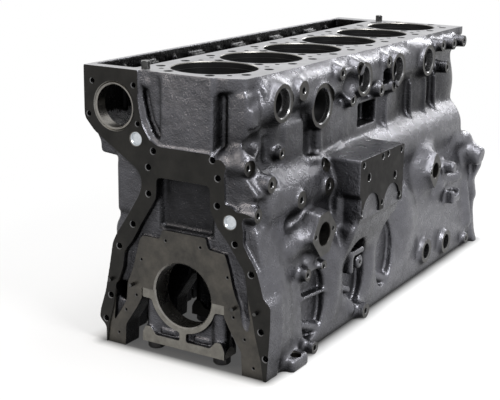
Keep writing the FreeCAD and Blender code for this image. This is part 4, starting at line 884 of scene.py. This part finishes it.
# %% The start of every metal
def metal(material, dark, light, metallic, roughness, spread, patch):
    """A metal that wanders between two colours in patches of `patch` mm, and so does its gloss."""
    material.use_nodes = True
    tree = material.node_tree
    tree.nodes.clear()
    place = add_node(tree, "TexCoord").outputs["Object"]
    mottle = add_node(tree, "TexNoise", [("Vector", place)], Scale=1 / (patch * MM), Detail=6.0,
                      Roughness=0.65)
    tint = add_node(tree, "ValToRGB", [("Fac", mottle)])
    fill_ramp(tint, [(0.32, dark), (0.68, light)])
    gloss = add_node(tree, "MapRange", [("Value", mottle)], From_Min=0.32, From_Max=0.68,
                     To_Min=roughness + spread, To_Max=roughness - spread)
    shader = add_node(tree, "BsdfPrincipled", [("Base Color", tint), ("Roughness", gloss)],
                      Metallic=metallic)
    add_node(tree, "OutputMaterial", [("Surface", shader)])
    return tree, shader, tint, place


print("finishes to fill in:", len(FINISHES))

# %% Sand-cast iron: its skin
# Iron as cast: the grain of the sand breaks every highlight up, and wider swells make it wavy.
GRAIN = 3
SWELL = 22
tree, shader, tint, place = metal(materials["cast_iron"], "#48484b", "#7a7a7e", 0.95, 0.29, 0.07, 24)
sand = add_node(tree, "TexNoise", [("Vector", place)], Scale=1 / (GRAIN * MM), Detail=3.0, Roughness=0.6)
waves = add_node(tree, "TexNoise", [("Vector", place)], Scale=1 / (SWELL * MM), Detail=2.0)
rough_skin = add_node(tree, "Math", [(0, sand), (1, 0.55), (2, waves)], operation="MULTIPLY_ADD")
skin = add_node(tree, "Bump", [("Height", rough_skin)], Distance=0.0026, Strength=0.7)
print("cast iron: sand grain", GRAIN, "mm, swells", SWELL, "mm")

# %% Sand-cast iron: painted light and shade
# Upward slopes are painted brighter, as if lit from above, and the skin is painted lighter towards the
# lower rear of the skirt. Every corner, the spaces that open into the block and the pockets under the
# deck are painted darker as shade. Each such space is a box: its centre, its half sizes, the metres
# over which it fades out and the share of brightness that it keeps.
UPWARD = Vector((-0.16, -0.28, 0.95)).normalized()
LIGHTER_TOWARDS = (0.45, -0.6, -1)
# Painted shade: boxes over the camshaft chest, the port side's wall under the deck's band, the crankcase and
# the front face's pocket.
PAINTED_SHADE_BOXES = [
    ((-0.01, 0.155, 0.316), (0.475, 0.048, 0.0765), 0.001, 0.06),
    ((0.3, -0.1, 0.268), (0.2, 0.03, 0.045), 0.03, 0.5),
    ((-0.35, -0.1, 0.25), (0.14, 0.03, 0.045), 0.03, 0.62),
    ((0.02, 0, -0.02), (0.47, 0.14, 0.13), 0.01, 0.15),
    ((-0.49, -0.004, 0.164), (0.013, 0.056, 0.048), 0.004, 0.4),
]
# Painted highlight: upward slopes of the bumped skin are painted brighter, as if lit from above.
slope = add_node(tree, "VectorMath", [(0, skin), (1, UPWARD)], operation="DOT_PRODUCT")
painted_top_light = add_node(tree, "MapRange", [("Value", slope.outputs["Value"])], From_Min=-0.55,
                 From_Max=1.2, interpolation_type="SMOOTHSTEP")
# Painted shade: corners and recesses are painted darker by ambient occlusion; clear is the share of
# brightness left.
painted_corner_shade = add_node(tree, "AmbientOcclusion", Distance=0.06, samples=6)
clear = add_node(tree, "Math", [(0, painted_corner_shade.outputs["AO"]), (1, 1.1)], operation="POWER")
# Each box paints shade on the skin inside it.
for centre, half, reach, kept in PAINTED_SHADE_BOXES:
    away = outside_box(tree, place, centre, half)
    dim = add_node(tree, "MapRange", [("Value", away)], From_Max=reach, To_Min=kept)
    clear = add_node(tree, "Math", [(0, clear), (1, dim)], operation="MULTIPLY")
# The skin is painted lighter towards the lower rear of the port side's skirt.
low = add_node(tree, "VectorMath", [(0, place), (1, LIGHTER_TOWARDS)], operation="DOT_PRODUCT")
lighter_low_rear = add_node(tree, "MapRange", [("Value", low.outputs["Value"])], From_Min=-0.02,
                  From_Max=0.2, To_Max=0.45)
lit = add_node(tree, "Math", [(0, painted_top_light), (1, lighter_low_rear)], operation="ADD")
painted_light_and_shade = add_node(tree, "Math", [(0, lit), (1, clear)], operation="MULTIPLY")
# The painted light and painted shade choose a grey from this ramp, overlaid on the mottled tint.
painted_shading_ramp = add_node(tree, "ValToRGB", [("Fac", painted_light_and_shade)])
fill_ramp(painted_shading_ramp, [(0.0, "#111112"), (0.16, "#3a3a3c"), (0.46, "#747478"), (0.95, "#8e8e93")])
mixed = add_node(tree, "Mix", data_type="RGBA", blend_type="OVERLAY")
for source, socket in ((painted_shading_ramp.outputs[0], mixed.inputs[6]), (tint.outputs[0], mixed.inputs[7]),
                       (mixed.outputs[2], shader.inputs["Base Color"]),
                       (skin.outputs[0], shader.inputs["Normal"])):
    tree.links.new(source, socket)
mixed.inputs[0].default_value = 0.6
print("sheltered spaces:", len(PAINTED_SHADE_BOXES))

# %% Machined iron and steel
# Each cut leaves its own gloss: a ground deck is pale, the dry-milled front is nearly black. The
# columns are the two colours, how metallic it is, its roughness and its patches in mm.
# The finish of the bores and holes is painted nearly black as the shade inside them.
CUTS = [
    ("milled_front", "#1f1f1e", "#2d2c2a", 0.85, 0.40, 40),
    ("milled_seal", "#3a3937", "#524f4a", 0.85, 0.38, 30),
    ("ground_deck", "#939396", "#a6a6a9", 0.85, 0.36, 60),
    ("milled_pad", "#0b0908", "#15120f", 0.85, 0.55, 25), ("bored", "#6d6b67", "#868480", 0.95, 0.28, 20),
    ("oiled_bore", "#161617", "#242425", 0.5, 0.36, 30), ("drilled", "#59595a", "#717172", 0.95, 0.28, 8),
    ("milled_rail", "#5e5d58", "#75736e", 0.8, 0.4, 40),
    ("spot_face", "#2b2a28", "#403e3b", 0.85, 0.34, 12),
    ("milled_cap", "#64625d", "#7e7c76", 0.75, 0.42, 18),
    ("bush_metal", "#716f6b", "#8c8984", 1.0, 0.3, 12), ("plug_zinc", "#b9bec3", "#cdd2d6", 1.0, 0.34, 5),
    ("ground_steel", "#3c3c3c", "#525251", 1.0, 0.28, 8),
    ("bolt_steel", "#28282a", "#3b3a3a", 0.8, 0.36, 10),
]
MARKS = 2
for name, dark, light, metallic, roughness, patch in CUTS:
    tree, shader, tint, place = metal(materials[name], dark, light, metallic, roughness, 0.05, patch)
    marks = add_node(tree, "TexNoise", [("Vector", place)], Scale=1 / (MARKS * MM), Detail=2.0)
    scratch = add_node(tree, "Bump", [("Height", marks)], Distance=0.0003, Strength=0.25)
    tree.links.new(scratch.outputs["Normal"], shader.inputs["Normal"])
    if name == "milled_cap":
        # Painted shade: the caps inside the crankcase are painted nearly black; only the ends of the first
        # and last caps keep the milled colour.
        away = outside_box(tree, place, (0.02, 0, -0.02), (0.47, 0.14, 0.14))
        shaded_inside = add_node(tree, "MapRange", [("Value", away)], From_Max=0.004, To_Min=0.88, To_Max=0)
        painted_shade_mix = add_node(tree, "Mix", data_type="RGBA")
        tree.links.new(shaded_inside.outputs[0], painted_shade_mix.inputs[0])
        tree.links.new(tint.outputs[0], painted_shade_mix.inputs[6])
        painted_shade_mix.inputs[7].default_value = colour("#0b0b0b")
        tree.links.new(painted_shade_mix.outputs[2], shader.inputs["Base Color"])
print("machined finishes:", len(CUTS))

# %% [markdown]
# ## The main bearing caps
# Seven caps hold the crankshaft from below. Each is a casting of its own: a half ring on a thin web,
# round columns for its two bolts and a flange with a horn at each end. One cap is grown on a finer
# grid than the block's, machined on its joint, ends and bore, and copied to the other bearings.

# %% Grow one cap
CAP_LOW = -102
CAP_HALF = 20
CAP_SIDE = 88
BOLT_SIDE = 71
FLANGE = [
    (-88, -105), (88, -105), (88, -86), (81, -72), (70, -72), (58, -86), (7, -86), (7, -60), (-7, -60),
    (-7, -86), (-58, -86), (-70, -72), (-81, -72), (-88, -86),
]
cap_iron = Iron((-24, -94, CAP_LOW - 6), (24, 94, 6), 1.25)
add = cap_iron.add
add(block((-CAP_HALF - 2, -CAP_SIDE, -18), (CAP_HALF + 2, CAP_SIDE, 3), 2), 1)
add(block((-10, -BOLT_SIDE, CAP_LOW), (10, BOLT_SIDE, 3), 3), 5)
add(drum((-CAP_HALF - 2, 0, 0), (CAP_HALF + 2, 0, 0), 70, 70, 1.5), 4)
add(plate(FLANGE, "X", -CAP_HALF - 2, CAP_HALF + 2, 1.5, ease=3), 4)
for y in (-BOLT_SIDE, BOLT_SIDE):
    add(drum((0, y, CAP_LOW - 3), (0, y, 3), 16, 16, 1), 5)
for y in (-36, 36):
    for end in (-10, 10):
        add(block((end - 3, y - 16, -84), (end + 3, y + 16, -74), 2), 3)
cap_iron.soften()
cap = cap_iron.mesh("cap", 16000)
cap.data.materials.append(materials["cast_iron"])

# %% Machine the cap's joint, ends, bore and bolt holes
# The cutters of one Boolean may not overlap, so each flat face has a Boolean of its own.
CAP_CUTS = [
    ((-30, -100, 0), (30, 100, 20), "bored"), ((-30, -100, CAP_LOW - 20), (30, 100, CAP_LOW), "milled_rail"),
    ((-30, -100, -130), (-CAP_HALF, 100, 20), "milled_cap"),
    ((CAP_HALF, -100, -130), (30, 100, 20), "milled_cap"),
    ((-30, CAP_SIDE, -130), (30, 100, 20), "bored"), ((-30, -100, -130), (30, -CAP_SIDE, 20), "bored"),
]
CAP_BORE = [(-26, 61.5), (-CAP_HALF, 61.5), (-CAP_HALF + 2.5, 59), (CAP_HALF - 2.5, 59), (CAP_HALF, 61.5),
            (26, 61.5)]
for low, high, finish in CAP_CUTS:
    machine(cap, [box(low, high, finish)])
machine(cap, [turned(CAP_BORE, (0, 0, 0), "X", "bored", 96)])
machine(cap, [turned([(CAP_LOW - 5, 8.5), (5, 8.5)], (0, y, 0), "Z", "drilled", 24)
              for y in (-BOLT_SIDE, BOLT_SIDE)])
finish_shading(cap)

# %% Copy the cap to every bearing
for number, x in enumerate(BEARINGS, start=1):
    mesh = cap.data.copy()
    mesh.transform(Matrix.Translation((x * MM, 0, 0)))
    piece = new_object("main_bearing_cap_%d_casting" % number, mesh)
    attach(piece, "root")
    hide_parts("main_bearing_cap_%d" % number)
bpy.data.objects.remove(cap)
print("caps:", len(BEARINGS))

# %% [markdown]
# ## Bolts and washers
# Fourteen equal bolts hold the caps, so they are made where they belong by Geometry Nodes: a line of
# bearings along the crankshaft, a second line for the other side, and one bolt on every point. The
# bolt's head is a six-sided prism, cut by a cone so that its corners are chamfered.


# %% A tree of nodes with named inputs
def new_tree(name, sizes):
    """A Geometry Nodes tree with a geometry output and one float input for each named size in mm."""
    tree = bpy.data.node_groups.new(name, "GeometryNodeTree")
    tree.interface.new_socket("Geometry", in_out="OUTPUT", socket_type="NodeSocketGeometry")
    for size, value in sizes.items():
        socket = tree.interface.new_socket(size, in_out="INPUT", socket_type="NodeSocketFloat")
        socket.default_value = value * MM
    return tree, add_node(tree, "GroupInput").outputs


def grow(name, tree, sizes):
    """Run a tree on an empty object, with its inputs set by identifier, and keep the plain mesh."""
    thing = new_object(name, bpy.data.meshes.new(name))
    nodes_modifier = thing.modifiers.new("grow", "NODES")
    nodes_modifier.node_group = tree
    for item in tree.interface.items_tree:
        if item.in_out == "INPUT":
            nodes_modifier[item.identifier] = sizes[item.name] * MM
    bake(thing)
    print(name, len(thing.data.polygons), "faces")
    return thing


def raised(tree, mesh, length, share, base):
    """Move a mesh up along Z to a base plus a share of a length."""
    height = add_node(tree, "Math", [(0, length), (1, share), (2, base)], operation="MULTIPLY_ADD")
    lift = add_node(tree, "CombineXYZ", [("Z", height)])
    return add_node(tree, "Transform", [("Geometry", mesh), ("Translation", lift)])


def on_every_bearing(tree, size, thing):
    """Two lines of points along the crankshaft, with the thing on each, and its steel put on it."""
    step = add_node(tree, "CombineXYZ", [("X", size["Pitch"])])
    first = add_node(tree, "Math", [(0, size["Pitch"]), (1, -(len(BEARINGS) - 1) / 2)],
                     operation="MULTIPLY")
    away = add_node(tree, "Math", [(0, size["Side"]), (1, -1)], operation="MULTIPLY")
    points = add_node(tree, "JoinGeometry")
    for side in (size["Side"], away):
        start = add_node(tree, "CombineXYZ", [("X", first), ("Y", side)])
        line = add_node(tree, "MeshLine", [("Start Location", start), ("Offset", step)],
                        Count=len(BEARINGS))
        tree.links.new(line.outputs[0], points.inputs[0])
    copies = add_node(tree, "InstanceOnPoints", [("Points", points), ("Instance", thing)])
    real = add_node(tree, "RealizeInstances", [("Geometry", copies)])
    steel = add_node(tree, "SetMaterial", [("Geometry", real)], Material=materials["bolt_steel"])
    add_node(tree, "GroupOutput", [("Geometry", steel)])


# %% Bolts
# The hexagon's corners are its flats' half width over the cosine of 30 degrees. The cone opens upwards
# at 60 degrees from its lower face, which is a little narrower than the flats.
BOLT = {"Pitch": PITCH, "Side": BOLT_SIDE, "Flats": 27, "Head": 12, "Seat": CAP_LOW - 3, "Shank": 17,
        "Reach": 175}
tree, size = new_tree("cap_bolts", BOLT)
corner = add_node(tree, "Math", [(0, size["Flats"]), (1, 1 / math.sqrt(3))], operation="MULTIPLY")
hexagon = add_node(tree, "MeshCylinder", [("Radius", corner), ("Depth", size["Head"])], Vertices=6)
tip = add_node(tree, "Math", [(0, size["Flats"]), (1, 0.48)], operation="MULTIPLY")
root = add_node(tree, "Math", [(0, size["Head"]), (1, math.tan(math.radians(60))), (2, tip)],
                operation="MULTIPLY_ADD")
cone = add_node(tree, "MeshCone", [("Radius Bottom", tip), ("Radius Top", root), ("Depth", size["Head"])],
                Vertices=48)
head = add_node(tree, "MeshBoolean", operation="INTERSECT", solver="MANIFOLD",
                inputs=[("Mesh", raised(tree, hexagon, size["Head"], -0.5, size["Seat"])),
                        ("Mesh", raised(tree, cone, size["Head"], -1, size["Seat"]))])
half = add_node(tree, "Math", [(0, size["Shank"]), (1, 0.5)], operation="MULTIPLY")
shank = add_node(tree, "MeshCylinder", [("Radius", half), ("Depth", size["Reach"])], Vertices=24)
shank = raised(tree, shank, size["Reach"], 0.5, size["Seat"])
whole = add_node(tree, "JoinGeometry", [("Geometry", head), ("Geometry", shank)])
on_every_bearing(tree, size, whole)
bolts = grow("main_cap_bolts_turned", tree, BOLT)

# %% Washers
WASHER = {"Pitch": PITCH, "Side": BOLT_SIDE, "Outer": 32, "Inner": 17, "Thick": 3, "Seat": CAP_LOW}
tree, size = new_tree("cap_washers", WASHER)
rings = []
for name, longer in (("Outer", 1), ("Inner", 3)):
    radius = add_node(tree, "Math", [(0, size[name]), (1, 0.5)], operation="MULTIPLY")
    depth = add_node(tree, "Math", [(0, size["Thick"]), (1, longer)], operation="MULTIPLY")
    rings.append(add_node(tree, "MeshCylinder", [("Radius", radius), ("Depth", depth)], Vertices=48))
ring = add_node(tree, "MeshBoolean", [("Mesh 1", rings[0]), ("Mesh 2", rings[1])],
                operation="DIFFERENCE", solver="MANIFOLD")
on_every_bearing(tree, size, raised(tree, ring, size["Thick"], -0.5, size["Seat"]))
washers = grow("main_cap_washers_turned", tree, WASHER)

# %% [markdown]
# ## Bushes, plugs and dowels
# The small bright pieces are turned on a lathe, so each is a profile swept round its axis. The bushes
# are bored out of a plain bar, with a bevel at each mouth, since light caught in that bevel is what
# shows them in the dark chest.

# %% Turn them
BUSH = 26
BUSH_BAR = [(0, 41.2), (0.8, 42), (BUSH - 0.8, 42), (BUSH, 41.2)]
BUSH_BORE = [(-1, 40), (0, 40), (2, 38), (BUSH - 2, 38), (BUSH, 40), (BUSH + 1, 40)]
CUP = [(7, 12.5), (1.6, 12.5), (1, 12), (1, 11), (3.6, 9.4), (3, 4)]
DOWEL = [(-12, 8), (12.6, 8), (14, 6.8)]
PIN = [(-9, 2.7), (-8.2, 3.5), (14, 3.5)]
pieces = {}
starts = [FRONT] + [x - BUSH / 2 for x in BEARINGS[1:-1]] + [REAR - BUSH]
for number, x in enumerate(starts, start=1):
    name = "camshaft_bush_%d" % number
    pieces[name] = solid(name + "_turned", [turned(BUSH_BAR, (x, *CAM), "X", "bush_metal", 72)])
    machine(pieces[name], [turned(BUSH_BORE, (x, *CAM), "X", "bush_metal", 72)])
for name, place in PLUGS.items():
    pieces[name] = solid(name + "_turned", [turned(CUP, (FRONT, *place), "X", "plug_zinc", 40)])
pins = [turned(PIN, (FRONT, *place), "X", "ground_steel", 24) for place in PINS]
pieces["front_dowel_pins"] = solid("front_dowel_pins_turned", pins)
for name, place in DOWEL_PLACES.items():
    pieces[name] = solid(name + "_turned", [turned(DOWEL, (*place, DECK), "Z", "ground_steel", 32)])
print("turned pieces:", len(pieces))

# %% Give them to the frame
pieces.update(main_cap_bolts=bolts, main_cap_washers=washers)
for name, piece in pieces.items():
    finish_shading(piece)
    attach(piece, "root")
    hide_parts(name)
print("pieces given:", len(pieces))

# %% Floor
# The floor's colour is painted dark under the block as shadow; close by it takes the block's real shadow, and
# it fades to plain white a metre away.
SHADOW_KEPT = 0.25
bpy.ops.mesh.primitive_grid_add(x_subdivisions=8, y_subdivisions=8, size=14,
                                location=(2, 0, RAIL * MM - 0.0005))
floor = bpy.context.object
floor.name = "floor"
floor_finish = bpy.data.materials.new("white_floor")
floor_finish.use_nodes = True
tree = floor_finish.node_tree
tree.nodes.clear()
glow = add_node(tree, "Emission", Color=(1, 1, 1, 1), Strength=1.0)
place = add_node(tree, "TexCoord").outputs["Object"]
away = outside_box(tree, place, (-2, 0, 0), (0.5, 0.17, 1))
# Painted shadow: the floor's colour is darkened under the block's footprint.
painted_shadow_below = add_node(tree, "MapRange", [("Value", away)], From_Max=0.03, To_Min=0.05, To_Max=1.0)
paint = add_node(tree, "BsdfPrincipled", [("Base Color", painted_shadow_below)], Roughness=0.9)
white_share = add_node(tree, "ValToRGB", [("Fac", away)])
fill_ramp(white_share, [(0.0, 0.08), (0.05, 0.7), (0.2, 1 - SHADOW_KEPT), (1.0, 1.0)])
seen = add_node(tree, "Math", [(0, white_share), (1, backdrop_rays(tree))], operation="MULTIPLY")
surface = add_node(tree, "MixShader", [(0, seen), (1, paint), (2, glow)])
add_node(tree, "OutputMaterial", [("Surface", surface)])
floor.data.materials.append(floor_finish)
print("floor: white, shadow kept at", SHADOW_KEPT)

# %% Give the casting to the frame
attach(casting, "root")
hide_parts("cylinder_block")
